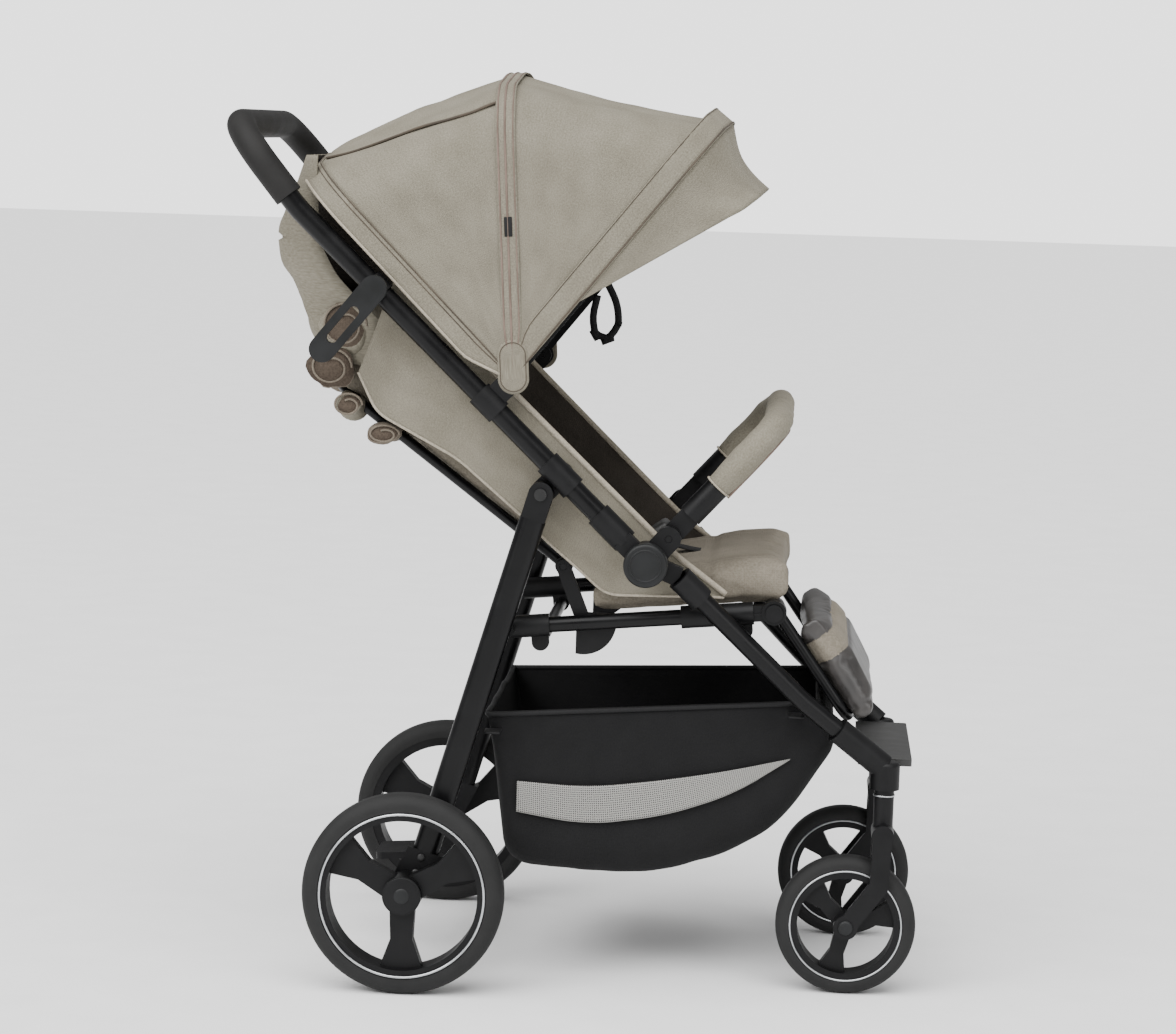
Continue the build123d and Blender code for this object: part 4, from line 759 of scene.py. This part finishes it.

# %% [markdown]
# ## Side wings
# A wing closes each side between the push tube, the backrest and the seat. It is one
# layer of canvas with a dark lining inside, bound along both edges. It hangs from the
# push tube, bellies out a little and is softly creased.

# %% Side wings
WING_TOP = [(-31, 814), (63, 724), (180, 612), (280, 517), (300, 500), (352, 462)]
WING_FOOT = [(-72, 700), (-50, 655), (44, 606), (118, 543), (147, 515), (188, 481), (216, 456)]
WING_FOOT += [(262, 457), (320, 458), (350, 458)]
WING_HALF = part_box("side_wings")[1].y / MM - 2.5
WING_FRONT_HALF = 179  # mm, beside the seat
WING_FOLD = {"axis": tuple(heading(46.3)), "anchor": tuple(PIVOTS["fold"]), "keep": 0.12}


def wing_surface(side):
    """The wing of one side: s runs along it, t from its top edge to its foot."""
    top = [at(x, z) for x, z in WING_TOP]
    foot = rounded([at(x, z) for x, z in WING_FOOT], [0.012] * 8, 4)

    def surface(s, t):
        high, low = on_line(top, s)[0], on_line(foot, s)[0]
        spot = high.lerp(low, t)
        taper = mix(WING_HALF, WING_FRONT_HALF, min(max((s - 0.35) / 0.4, 0), 1))
        belly = sin(pi * t) * (2.5 * sin(pi * s) - 3.0) + crumple(spot, 0.06, 5.0, side * 3.0)
        edge = min(1.0, 6 * min(t, 1 - t) + 0.15)
        return spot + Vector((0, side * (taper + belly * edge * 0.7) * MM, 0))

    return surface


for side_name, side in SIDES.items():
    surface = wing_surface(side)
    size = (line_length([at(x, z) for x, z in WING_TOP]), 0.2)
    shape = laid(size, (80, 36), surface, at(120, 600))
    area = panel_area(shape)
    wing = piece(f"side_wing_{side_name}", shape, [CANVAS, LINING], "push_frame")
    thicken(wing, lining=1)
    cut = (size[0], max(0.24, area / size[0] * 1.02))
    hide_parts("side_wings")
    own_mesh(wing)
    for name, t, radius in (("top", 0.0, 3.4), ("foot", 1.0, 1.6)):
        line = [surface(i / 80, t) for i in range(81)]
        trim_name = f"side_wing_{name}_trim_{side_name}"
        trim = cordlet(trim_name, line, radius * MM, BINDING, "push_frame", (8, 90))
        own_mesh(trim)
print("wings hung, area", round(area, 3))

# %% [markdown]
# ## Padded pieces
# The seat, backrest and leg rest are foam in a sewn cover. Each one starts as a copy of
# its CAD solid, a little smaller, with its triangles merged. A voxel remesh gives even
# faces, and Blender's Cloth, blown up by a little pressure with no gravity, rounds it as
# stuffing does. A cap on how far a point may move keeps it clear of the frame.

# %% Cushion simulation
VOXEL = 5 * MM
SHRINK = 3 * MM
FRAMES = 20
PRESSURE = 4.0


def swollen(node, name, finishes, cap):
    """A copy of a CAD pad, remeshed and blown up by cloth pressure by up to cap mm."""
    source = frame["nodes"][node]
    shape = bmesh.new()
    shape.from_mesh(source.data)
    bmesh.ops.remove_doubles(shape, verts=shape.verts, dist=0.0001)
    low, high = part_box(node)
    centre, half = (low + high) / 2, (high - low) / 2
    for vert in shape.verts:
        away = vert.co - centre
        vert.co = centre + Vector([a * (1 - SHRINK / h) for a, h in zip(away, half)])
    pad = piece(name, shape, finishes)
    remesh = pad.modifiers.new("remesh", "REMESH")
    remesh.mode, remesh.voxel_size = "VOXEL", VOXEL
    remesh.use_smooth_shade = True
    bake(pad)
    start = [v.co.copy() for v in pad.data.vertices]
    cloth = pad.modifiers.new("stuffing", "CLOTH")
    cloth.settings.use_pressure = True
    cloth.settings.uniform_pressure_force = PRESSURE
    cloth.settings.effector_weights.gravity = 0
    cloth.settings.quality = 4
    cloth.collision_settings.use_collision = False
    for number in range(1, FRAMES + 1):
        bpy.context.scene.frame_set(number)
    bake(pad)
    for vert, old in zip(pad.data.vertices, start):
        move = vert.co - old
        if move.length > cap * MM:
            vert.co = old + move.normalized() * cap * MM
    bpy.context.scene.frame_set(1)
    return pad


def bake(obj):
    """Turns an object's modifiers into its mesh."""
    graph = bpy.context.evaluated_depsgraph_get()
    mesh = bpy.data.meshes.new_from_object(obj.evaluated_get(graph))
    obj.modifiers.clear()
    old, obj.data = obj.data, mesh
    bpy.data.meshes.remove(old)
    mesh.polygons.foreach_set("use_smooth", [True] * len(mesh.polygons))


def channel(pad, where, depth, width):
    """Presses a sewn channel into a pad: where(place) is the distance to the seam, in metres."""
    for vert in pad.data.vertices:
        gap = where(vert.co)
        if abs(gap) < width * 3:
            vert.co -= vert.normal * depth * exp(-((gap / width) ** 2))


print("cushion recipe ready, voxel", VOXEL)

# %% [markdown]
# The seat is quilted: two channels run across it and one along each side, pressed into
# its top only, so the foam stands up between them.

# %% Seat cushion
seat = swollen("seat_pad", "seat_cushion", [CANVAS_PAD], 7)
SEAT_TOP_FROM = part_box("seat_pad")[0].z + 0.02
SEAT_SEAMS = (at(250, 0).x, at(330, 0).x)
SEAT_SIDE_SEAM = 0.125  # metres from the middle plane


def seat_channel(gap, depth):
    """A channel in the seat's top: gap(place) is the distance to its seam."""
    channel(seat, lambda p: gap(p) if p.z > SEAT_TOP_FROM else 1.0, depth * MM, 5 * MM)


for seam_x in SEAT_SEAMS:
    seat_channel(lambda place, x=seam_x: place.x - x, 3)
seat_channel(lambda place: abs(place.y) - SEAT_SIDE_SEAM, 2.5)
smoothed(seat)
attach(seat, "seat_frame")
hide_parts("seat_pad")
print("seat cushion faces", len(seat.data.polygons))

# %% [markdown]
# The backrest has three channels across it and one along each side, so the child's
# back rests on soft ribs.

# %% Backrest cushion
back = swollen("backrest_pad", "backrest_cushion", [CANVAS_PAD], 7)
BACK_AXIS = PIVOTS["backrest_recline"]
BACK_WAY = heading(143.5)
BACK_SEAMS, BACK_SIDE_SEAM = (0.12, 0.22, 0.30), 0.105  # metres
for seam_at in BACK_SEAMS:
    channel(back, lambda p, d=seam_at: (p - BACK_AXIS).dot(BACK_WAY) - d, 3 * MM, 6 * MM)
channel(back, lambda p: abs(p.y) - BACK_SIDE_SEAM, 2.5 * MM, 6 * MM)
smoothed(back)
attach(back, "backrest")
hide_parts("backrest_pad")
print("backrest cushion faces", len(back.data.polygons))

# %% [markdown]
# The leg rest is wiped clean often, so its pad is leatherette with one sewn-in band of
# canvas near the knee. The band is the same surface with another material. Two cuts
# through the mesh give it straight edges, and a pressed seam lies along each.

# %% Leg-rest pad
calf = swollen("legrest_pad", "legrest_cushion", [LEATHERETTE, CANVAS_PAD], 8)
CALF_AXIS = PIVOTS["legrest_tilt"]
CALF_WAY = heading(-54.5)
BAND_FROM, BAND_TO, TOE_SEAM = 0.056, 0.084, 0.150  # metres along the leg rest


def calf_along(place):
    """How far along the leg rest a place is, in metres."""
    return (place - CALF_AXIS).dot(CALF_WAY)


cut = bmesh.new()
cut.from_mesh(calf.data)
for cut_at in (BAND_FROM, BAND_TO):
    everything = [*cut.verts, *cut.edges, *cut.faces]
    spot = CALF_AXIS + CALF_WAY * cut_at
    bmesh.ops.bisect_plane(cut, geom=everything, plane_co=spot, plane_no=CALF_WAY, dist=1e-6)
cut.to_mesh(calf.data)
cut.free()
for seam_at in (BAND_FROM, BAND_TO, TOE_SEAM):
    channel(calf, lambda place, d=seam_at: calf_along(place) - d, 2.5 * MM, 3.5 * MM)
for face in calf.data.polygons:
    if BAND_FROM < calf_along(face.center) < BAND_TO:
        face.material_index = 1
smoothed(calf)
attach(calf, "legrest")
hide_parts("legrest_pad")
print("leg-rest pad faces", len(calf.data.polygons))

# %% [markdown]
# ## Bumper bar
# The bar in front of the seat wears a padded canvas cover, zipped along its underside.
# The cover is a tube rolled round the bar's own line, a little creased at its bends.

# %% Bumper cover
BUMPER_AXIS = PIVOTS["bumper_swing"]
BUMPER_WAY = heading(48)
COVER_FROM, BAR_REACH, BAR_HALF, BAR_TRIM = 78, 177, 190, 58  # mm
COVER_RADIUS, END_PINCH = 16.2, 1.6  # mm


def bumper_point(reach, y):
    """A corner of the bar's line: reach from its pivot and y from the middle, in mm."""
    return BUMPER_AXIS + BUMPER_WAY * reach * MM + Vector((0, y * MM, 0))


BAR_LINE = rounded(
    [
        bumper_point(COVER_FROM, -BAR_HALF),
        bumper_point(BAR_REACH, -BAR_HALF),
        bumper_point(BAR_REACH, BAR_HALF),
        bumper_point(COVER_FROM, BAR_HALF),
    ],
    [BAR_TRIM * MM] * 2,
    14,
)
BAR_NORMAL = heading(138)


def cover_radius(share):
    """The sleeve's radius, drawn in by elastic at both ends."""
    end = min(share, 1 - share)
    return (COVER_RADIUS - END_PINCH * exp(-end * 60)) * MM


cover_shape = rolled(
    BAR_LINE,
    cover_radius,
    (28, 150),
    up=BAR_NORMAL,
    wobble=lambda spot: crumple(spot, 0.024, 1.5 * MM, 6.0),
)
cover = smoothed(piece("bumper_sleeve", cover_shape, [CANVAS], "bumper"))
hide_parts("bumper_cover")
zip_line = [spot - BAR_NORMAL * (COVER_RADIUS - 0.2) * MM for spot in BAR_LINE]
cordlet("bumper_sleeve_zip", zip_line, 1.7 * MM, ZIP_TAPE, "bumper", (8, 120), BAR_NORMAL)
for name, end in (("right", 0), ("left", -1)):
    ring = []
    for a in range(0, 361, 15):
        turn_way = SIDEWAYS * cos(radians(a)) + BAR_NORMAL * sin(radians(a))
        ring.append(BAR_LINE[end] + BUMPER_WAY * 2 * MM + turn_way * (COVER_RADIUS - 0.6) * MM)
    cordlet(f"bumper_sleeve_hem_{name}", ring, 1.3 * MM, BINDING, "bumper", (6, 40), BUMPER_WAY)
print("bumper sleeve ready")

# %% [markdown]
# ## Basket
# The shopping basket is one sling of coated black cloth. Its keel runs from the rear hem
# down, along the floor and up to the front hem, and every section is a soft-cornered U.
# A crescent of pale mesh is set into each side.

# %% Basket
KEEL = [(84, 312), (107, 134), (243, 124), (335, 141), (424, 188), (488, 290), (462, 334)]
BASKET_HALVES = (176, 128)  # at the rear and at the front, in mm
BASKET_FRONT = at(492, 0).x
BASKET_HOLLOW, BASKET_SAG, BASKET_CREASE = 5, 5, 5  # mm
keel_line = rounded([at(x, z) for x, z in KEEL], [0.03, 0.05, 0.04, 0.04, 0.02], 8)
section = rounded(
    [Vector(p) for p in ((-1, 1, 0), (-1, 0, 0), (1, 0, 0), (1, 1, 0))], [0.22, 0.22], 8
)


def basket_half(x):
    """Half the basket's width at x, in metres."""
    share = (x - keel_line[0].x) / (BASKET_FRONT - keel_line[0].x)
    return mix(*BASKET_HALVES, min(max(share, 0), 1)) * MM


def basket_surface(s, t):
    """A point of the sling: s runs across from hem to hem, t along the keel."""
    low = on_line(keel_line, t)[0]
    high = keel_line[0].lerp(keel_line[-1], t)
    y, up_share = on_line(section, s)[0].xy
    spot = low.lerp(high, up_share)
    hollow = sin(pi * min(max(t, 0), 1)) * up_share * (1 - up_share) * 4
    spot.y = y * (basket_half(spot.x) - hollow * BASKET_HOLLOW * MM)
    sag = (1 - up_share) * sin(pi * t) * (1 - 0.6 * y * y)
    crease = crumple(spot, 0.07, BASKET_CREASE * MM, 8.0) * sin(pi * s) * 0.9
    return spot + Vector((0, 0, -sag * BASKET_SAG * MM + crease))


BASKET_FLOOR, BASKET_SIDE = 0.30, 0.19  # metres of cloth across the floor and up a side
basket_cut = (BASKET_FLOOR + 2 * BASKET_SIDE, line_length(keel_line))
basket_shape = laid(basket_cut, (72, 84), basket_surface, at(280, 230))
basket_area = panel_area(basket_shape)
basket = piece("basket_sling", basket_shape, [BASKET_CLOTH, BASKET_CLOTH], "front_frame")
thicken(basket)
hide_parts("basket")
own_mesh(basket)
hem = [basket_surface(0, i / 40) for i in range(41)]
hem += [basket_surface(i / 30, 1) for i in range(1, 31)]
hem += [basket_surface(1, 1 - i / 40) for i in range(1, 41)]
hem += [basket_surface(1 - i / 30, 0) for i in range(1, 31)]
UPRIGHT = Vector((0, 0, 1))
hem_piece = cordlet("basket_hem", hem, 3.2 * MM, WEBBING, "front_frame", (10, 220), UPRIGHT)
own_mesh(hem_piece)
print("basket area", round(basket_area, 3))

# %% [markdown]
# The mesh crescents lie just outside the side walls, between two drawn curves that meet
# in a point at the front. Short webbing loops hang the basket from the frame.

# %% Mesh windows and hanging loops
WINDOW_TOP = [(120, 236), (200, 230), (290, 240), (370, 254), (432, 268)]
WINDOW_FOOT = [(120, 200), (200, 186), (290, 198), (370, 226), (432, 267)]
LOOP_WIDTH = 18  # mm


def basket_side(spot, side, proud):
    """The place on the basket's side wall level with a side-view point."""
    return Vector((spot.x, side * (basket_half(spot.x) + proud * MM), spot.z))


for side_name, side in SIDES.items():
    upper = rounded([at(x, z) for x, z in WINDOW_TOP], [0.03] * 3)
    lower = rounded([at(x, z) for x, z in WINDOW_FOOT], [0.03] * 3)

    def window(s, t, sign=side):
        spot = on_line(upper, s)[0].lerp(on_line(lower, s)[0], t)
        return basket_side(spot, sign, 1.2 + crumple(spot, 0.05, 1.0, sign))

    shape = laid((0.32, 0.04), (60, 10), window, at(280, 230))
    area = panel_area(shape)
    patch = piece(f"basket_window_{side_name}", shape, [MESH_WINDOW], "front_frame")
    thicken(patch, 0.8 * MM)
    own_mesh(patch)
    for name, (x, z), reach in (("front", (437, 322), 165), ("rear", (92, 296), 202)):
        start, end = basket_side(at(x, z), side, -1), at(x, z, side * reach)

        def strap(s, t, a=start, b=end):
            bow = sin(pi * t) * 2 * MM
            return a.lerp(b, t) + Vector(((s - 0.5) * LOOP_WIDTH * MM, 0, bow))

        loop_shape = laid((LOOP_WIDTH * MM, 0.04), (4, 10), strap, at(280, 100))
        loop = thicken(piece(f"basket_loop_{name}_{side_name}", loop_shape, [WEBBING]), 2 * MM)
        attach(loop, "front_frame")
        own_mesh(loop)
print("windows and loops ready")

# %% [markdown]
# ## Harness
# Five belts hold the child: two over the shoulders, two round the waist and one between
# the legs, all meeting at a buckle. Webbing is flat, so each belt is a narrow strip bent
# along its run, and the buckle is a bevelled shell.

# %% Harness belts and buckle
BELT, CROTCH_BELT, BELT_WALL = 25 * MM, 30 * MM, 2 * MM
BELT_STEP = 0.006  # metres between a belt's rows of faces


def belt(name, points, width, body, across_way):
    """A flat belt through the points, its width lying along across_way."""
    line = rounded(points, [0.02] * (len(points) - 2), 6)
    length = line_length(line)

    def surface(s, t):
        spot, way = on_line(line, t)
        side_way = (across_way - way * across_way.dot(way)).normalized()
        return spot + side_way * (s - 0.5) * width

    shape = laid((width, length), (4, max(8, int(length / BELT_STEP))), surface)
    bmesh.ops.recalc_face_normals(shape, faces=shape.faces)
    thicken(piece(name, shape, [WEBBING], body), BELT_WALL, 0)


def block(name, size, edge, segments, tilt, place, material, body):
    """A small moulded block with rounded edges, tilted about the sideways axis."""
    shape = bmesh.new()
    bmesh.ops.create_cube(shape, size=1)
    bmesh.ops.scale(shape, vec=size, verts=shape.verts)
    inputs = {"segments": segments, "profile": 0.5, "affect": "EDGES", "material": -1}
    bmesh.ops.bevel(shape, geom=shape.edges, offset=edge, **inputs)
    turn_back = Matrix.Rotation(radians(tilt), 3, "Y")
    bmesh.ops.rotate(shape, cent=(0, 0, 0), matrix=turn_back, verts=shape.verts)
    bmesh.ops.translate(shape, vec=place, verts=shape.verts)
    piece(name, shape, [material], body)


def on_back(reach, lift, y):
    """A point above the backrest: reach along it and lift above its tubes, in mm."""
    return BACK_AXIS + BACK_WAY * reach * MM + heading(53.5) * lift * MM + Vector((0, y * MM, 0))


SHOULDER_RUN = [(300, 44, 48), (220, 50, 48), (110, 52, 42), (48, 56, 16)]  # as on_back
SLEEVE_RUN = [(250, 52, 48), (190, 55, 48), (130, 55, 44)]
SLEEVE_RADIUS, SLEEVE_TAPER, SLEEVE_FLATNESS = 19, 6, 0.22
for side_name, side in SIDES.items():
    shoulder = [on_back(reach, lift, side * y) for reach, lift, y in SHOULDER_RUN]
    belt(f"shoulder_belt_{side_name}", shoulder, BELT, "backrest", SIDEWAYS)
    sleeve_line = [on_back(reach, lift, side * y) for reach, lift, y in SLEEVE_RUN]

    def sleeve_radius(share):
        return (SLEEVE_RADIUS - SLEEVE_TAPER * abs(2 * share - 1) ** 6) * MM

    shape = rolled(sleeve_line, sleeve_radius, (16, 24), SLEEVE_FLATNESS)
    sleeve = smoothed(piece(f"shoulder_sleeve_{side_name}", shape, [LEATHERETTE], "backrest"))
    waist = [at(205, 478, side * 150), at(232, 486, side * 110), at(262, 500, side * 40)]
    belt(f"waist_belt_{side_name}", waist, BELT, "seat_frame", heading(60))
crotch = [at(345, 489, 0), at(300, 490, 0), at(268, 502, 0)]
belt("crotch_belt", crotch, CROTCH_BELT, "seat_frame", SIDEWAYS)
BUCKLE = (0.042, 0.05, 0.016)  # metres
block("harness_buckle", BUCKLE, 0.006, 3, -35, at(262, 508), GREY_ABS, "seat_frame")
print("harness ready")

# %% [markdown]
# ## Small sewn details
# A stitched tab of canvas covers each canopy pivot. A plain black label is sewn into the
# zip band, and a webbing loop hangs inside the canopy, to hold a rolled toy or a hood tie.

# %% Pivot tabs, label and loop
CLAMP_OUT = max(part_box(n)[1].y for n in frame["nodes"] if n.startswith("canopy_"))
TAB_RADIUS, TAB_FROM, TAB_TO, TAB_BULGE, TAB_GAP = 17.5, 0, 26, 1.2, 0.6  # mm
STITCH_INSET, STITCH_LIFT = 3, 1.9  # mm
HOOP_WAY, HOOP_SIDE = heading(HOOPS["mid"][0]), heading(HOOPS["mid"][0] - 90)
for side_name, side in SIDES.items():

    def tab_outline(a, reach):
        base = TAB_TO if sin(a) > 0 else TAB_FROM
        return HOOP_SIDE * reach * cos(a) * MM + HOOP_WAY * (base + reach * sin(a)) * MM

    def tab_surface(s, t, sign=side):
        spot = tab_outline(2 * pi * s, TAB_RADIUS * t)
        bulge = TAB_BULGE * (1 - t**4)
        return PIVOT + spot + SIDEWAYS * sign * (CLAMP_OUT + (TAB_GAP + bulge) * MM)

    shape = laid((0.24, 0.02), (64, 6), tab_surface, CANOPY_CENTRE)
    bmesh.ops.remove_doubles(shape, verts=shape.verts, dist=0.0002)
    bmesh.ops.recalc_face_normals(shape, faces=shape.faces)
    tab = piece(f"canopy_pivot_tab_{side_name}", shape, [CANVAS], "canopy_mid")
    thicken(tab, 1.2 * MM, 0)
    face_at = PIVOT + SIDEWAYS * side * (CLAMP_OUT + STITCH_LIFT * MM)
    stitch = [
        face_at + tab_outline(radians(a), TAB_RADIUS - STITCH_INSET) for a in range(0, 361, 10)
    ]
    stitch_name = f"canopy_pivot_stitch_{side_name}"
    cordlet(stitch_name, stitch, 0.6 * MM, SEAM, "canopy_mid", (6, 60), SIDEWAYS)
LABEL, LABEL_SHARE = (0.009, 0.0016, 0.022), 0.155  # metres, and share of the hoop's length
label_at = hoop_point(HOOPS["mid"], LABEL_SHARE, BAND_LIFT + 1.2)
block("canopy_label", LABEL, 0.0006, 2, -3.6, label_at, WEBBING, "canopy_mid")
HOOD_LOOP = [(187, 796), (205, 762), (200, 730), (180, 722), (168, 742), (176, 780)]
hood_line = rounded([at(x, z, 150) for x, z in HOOD_LOOP], [0.02] * 4, 6)
hood_shape = rolled(hood_line, 4.5 * MM, (12, 60), squeeze=0.45)
piece("hood_loop", hood_shape, [WEBBING], "canopy_front")
print("label at", [round(v, 3) for v in label_at], "clamp", round(CLAMP_OUT, 4))

# %% [markdown]
# ## Turned fittings
# Rivets, bolts, wheel trims and rings are turned parts: a profile spun round an axis.
# The same small function makes them all from a few points of radius and height.

# %% Turned parts


def turned(name, centre, axis, profile, material, body, steps=40):
    """Spins a profile of (radius, height) in millimetres round an axis."""
    shape = bmesh.new()
    previous = None
    for radius, height in profile:
        vert = shape.verts.new((radius * MM, 0, height * MM))
        if previous:
            shape.edges.new((previous, vert))
        previous = vert
    bmesh.ops.spin(
        shape,
        geom=[*shape.verts, *shape.edges],
        cent=(0, 0, 0),
        axis=(0, 0, 1),
        angle=2 * pi,
        steps=steps,
        use_merge=True,
    )
    bmesh.ops.remove_doubles(shape, verts=shape.verts, dist=0.00001)
    bmesh.ops.recalc_face_normals(shape, faces=shape.faces)
    lean = Vector(axis).normalized().to_track_quat("Z", "Y").to_matrix().to_4x4()
    bmesh.ops.transform(shape, matrix=lean, verts=shape.verts)
    bmesh.ops.translate(shape, vec=centre, verts=shape.verts)
    piece(name, shape, [material], body)


def dome(radius, height, skirt=1.0):
    """A domed head's profile, from its skirt up to its middle."""
    turns = [radians(a) for a in range(0, 90, 15)]
    arc = [(radius * cos(a), skirt + (height - skirt) * sin(a)) for a in turns]
    return [(0, 0), (radius, 0), *arc, (0, height)]


def ring_profile(radius, width, height):
    """A half-round ring's profile."""
    turns = [radians(a) for a in range(0, 181, 20)]
    arc = [(radius + width / 2 * cos(a), height * sin(a)) for a in turns]
    return [*arc, arc[0]]


print("turned parts ready")

# %% [markdown]
# Each rear wheel has a satin ring and a shallow hub cap on its outer face, and each front
# wheel a ring on both faces. The forks have an axle cap on both cheeks, the stems a
# bright ring under the knuckle, the fold hubs a ring on their caps, and the axle
# housings two rivets each.

# %% Wheel trims, axle caps and frame rivets
REAR_AXIS, FRONT_AXIS = PIVOTS["rear_wheel_right_spin"], PIVOTS["front_wheel_right_spin"]
STEM, FOLD_AXIS = PIVOTS["caster_right_swivel"], PIVOTS["fold"]
REAR_FACE = -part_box("rear_rim_right")[0].y / MM  # mm from the middle plane
FRONT_MIDDLE = -FRONT_AXIS.y / MM
FRONT_FACE, FORK_FACE = 15, 24.5  # mm from the middle of a front wheel
CAP_FACE, HOUSING_FACE = 240, 222  # mm from the middle plane
REAR_RING, FRONT_RING = ring_profile(93.5, 3.0, 1.6), ring_profile(64, 2.4, 1.4)
HUB_RING = ring_profile(17.5, 2.2, 0.7)
STEM_RING = [(11.4, -0.9), (12.4, -0.9), (12.4, 0.9), (11.4, 0.9), (11.4, -0.9)]
RIVETS = {"housing_upper": (17, 152), "housing_lower": (11, 134)}


def beside(point, y):
    """A pivot moved to a distance y, in millimetres, from the middle plane."""
    return Vector((point.x, y * MM, point.z))


for side_name, side in SIDES.items():
    out = SIDEWAYS * side
    wheel, caster = f"rear_wheel_{side_name}", f"caster_{side_name}"
    for name, sunk, profile, material, steps in (
        ("rear_trim", 0, REAR_RING, SATIN_RING, 96),
        ("rear_hub_dome", 0.6, dome(21, 1.6, 0.6), NYLON, 40),
        ("rear_hub_cap", 0.4, dome(9, 3.0, 1.0), HUB_NYLON, 40),
    ):
        spot = beside(REAR_AXIS, side * (REAR_FACE - sunk))
        turned(f"{name}_{side_name}", spot, out, profile, material, wheel, steps)
    for face in (-1, 1):
        end = f"{side_name}_{'outer' if face == side else 'inner'}"
        way = SIDEWAYS * face
        wheel = f"front_wheel_{side_name}"
        spot = beside(FRONT_AXIS, side * FRONT_MIDDLE + face * FRONT_FACE)
        turned(f"front_trim_{end}", spot, way, FRONT_RING, SATIN_RING, wheel, 80)
        spot = beside(FRONT_AXIS, side * FRONT_MIDDLE + face * FORK_FACE)
        turned(f"front_axle_cap_{end}", spot, way, dome(8.5, 3.5), HUB_NYLON, caster)
    ring_at = Vector((STEM.x, side * FRONT_MIDDLE * MM, at(0, 233).z))
    turned(f"stem_ring_{side_name}", ring_at, (0, 0, 1), STEM_RING, SATIN_RING, caster)
    spot = beside(FOLD_AXIS, side * CAP_FACE)
    turned(f"hub_ring_{side_name}", spot, out, HUB_RING, HUB_NYLON, "push_frame", 64)
    for name, (x, z) in RIVETS.items():
        spot = at(x, z, side * HOUSING_FACE)
        turned(f"{name}_{side_name}", spot, out, dome(4.5, 2.2), RIVET, "rear_legs", 24)

# %% [markdown]
# ## Finishes of the CAD parts
# The hard parts keep their CAD shape. Each gets the finish of its real material, found
# by the start of its name; whatever is not in the list is moulded nylon.

# %% Hard parts
COATED = "front_leg push_tube rear_leg seat_rail backrest_frame legrest_frame"
COATED += " seat_crossbars front_cross_tube rear_axle bumper_bar"
FINISH_OF = {name: POWDER_COAT for name in COATED.split()}
FINISH_OF |= {"hub_caps": HUB_NYLON, "transport_hook": HUB_NYLON, "handle_grip": GRIP}
FINISH_OF |= {"footrest": GREY_ABS, "leg_rivets": RIVET, "front_tyre": TYRE, "rear_tyre": TYRE}
for name, node in frame["nodes"].items():
    chosen = next((m for key, m in FINISH_OF.items() if name.startswith(key)), NYLON)
    for slot in node.material_slots:
        slot.material = chosen
    if not node.material_slots:
        node.data.materials.append(chosen)
print("CAD parts finished:", len(frame["nodes"]))

# %% [markdown]
# ## Studio
# A pale paper floor under one wide overhead light, with a large soft light from the front
# left and a weaker one from the front right, so that the black frame shows a thin
# highlight along its tubes. The sky lights the stroller only dimly, which keeps the
# blacks deep, but the camera sees it about as bright as the floor.

# %% Floor and lights
floor_finish, floor_tree, floor_shader = finish("studio_paper", {"Roughness": 0.95, "IOR": 1.4})
paper = add(floor_tree, "ShaderNodeTexNoise", {"Vector": in_mm(floor_tree), "Scale": 0.01})
floor_colour = two_tone(floor_tree, paper.outputs["Fac"], "#EAEAEA", "#EDEDED")
floor_tree.links.new(floor_colour, floor_shader.inputs["Base Color"])
STUDIO = 60  # metres across


def paper_sheet(s, t):
    """A flat floor round the stroller."""
    return Vector(((s - 0.5) * STUDIO, (t - 0.5) * STUDIO, 0))


floor = piece("studio_floor", laid((STUDIO, STUDIO), (2, 2), paper_sheet), [floor_finish])
world = bpy.data.worlds.new("studio")
world.use_nodes = True
sky = world.node_tree.nodes["Background"]
sky.inputs["Color"].default_value = to_linear("#F4F4F4")
DIM, BRIGHT = 0.55, 2.6  # what lights the stroller, and what is seen behind it
seen = add(world.node_tree, "ShaderNodeLightPath").outputs["Is Camera Ray"]
inputs = {"Value": seen, "To Min": DIM, "To Max": BRIGHT}
brightness = add(world.node_tree, "ShaderNodeMapRange", inputs)
world.node_tree.links.new(brightness.outputs["Result"], sky.inputs["Strength"])
bpy.context.scene.world = world


def soft_light(name, place, target, size, power):
    """A large area light that faces a target."""
    data = bpy.data.lights.new(name, "AREA")
    data.shape, data.size, data.size_y, data.energy = "RECTANGLE", size[0], size[1], power
    lamp = bpy.data.objects.new(name, data)
    lamp.matrix_world = Matrix.Translation(place) @ (
        (Vector(target) - Vector(place)).to_track_quat("-Z", "Y").to_matrix().to_4x4()
    )
    bpy.context.scene.collection.objects.link(lamp)


SUN_STRENGTH, SUN_WIDTH, SUN_TILT = 5.2, 70, (24, -8, 0)  # the last two in degrees
sun_data = bpy.data.lights.new("overhead", "SUN")
sun_data.energy, sun_data.angle = SUN_STRENGTH, radians(SUN_WIDTH)
sun = bpy.data.objects.new("overhead", sun_data)
sun.rotation_euler = [radians(angle) for angle in SUN_TILT]
bpy.context.scene.collection.objects.link(sun)
soft_light("front_left", (-2.4, -3.0, 2.4), (0, 0, 0.5), (2.0, 2.4), 80)
soft_light("front_right", (2.6, -2.6, 1.6), (0, 0, 0.5), (1.4, 2.0), 35)
print("studio lit")
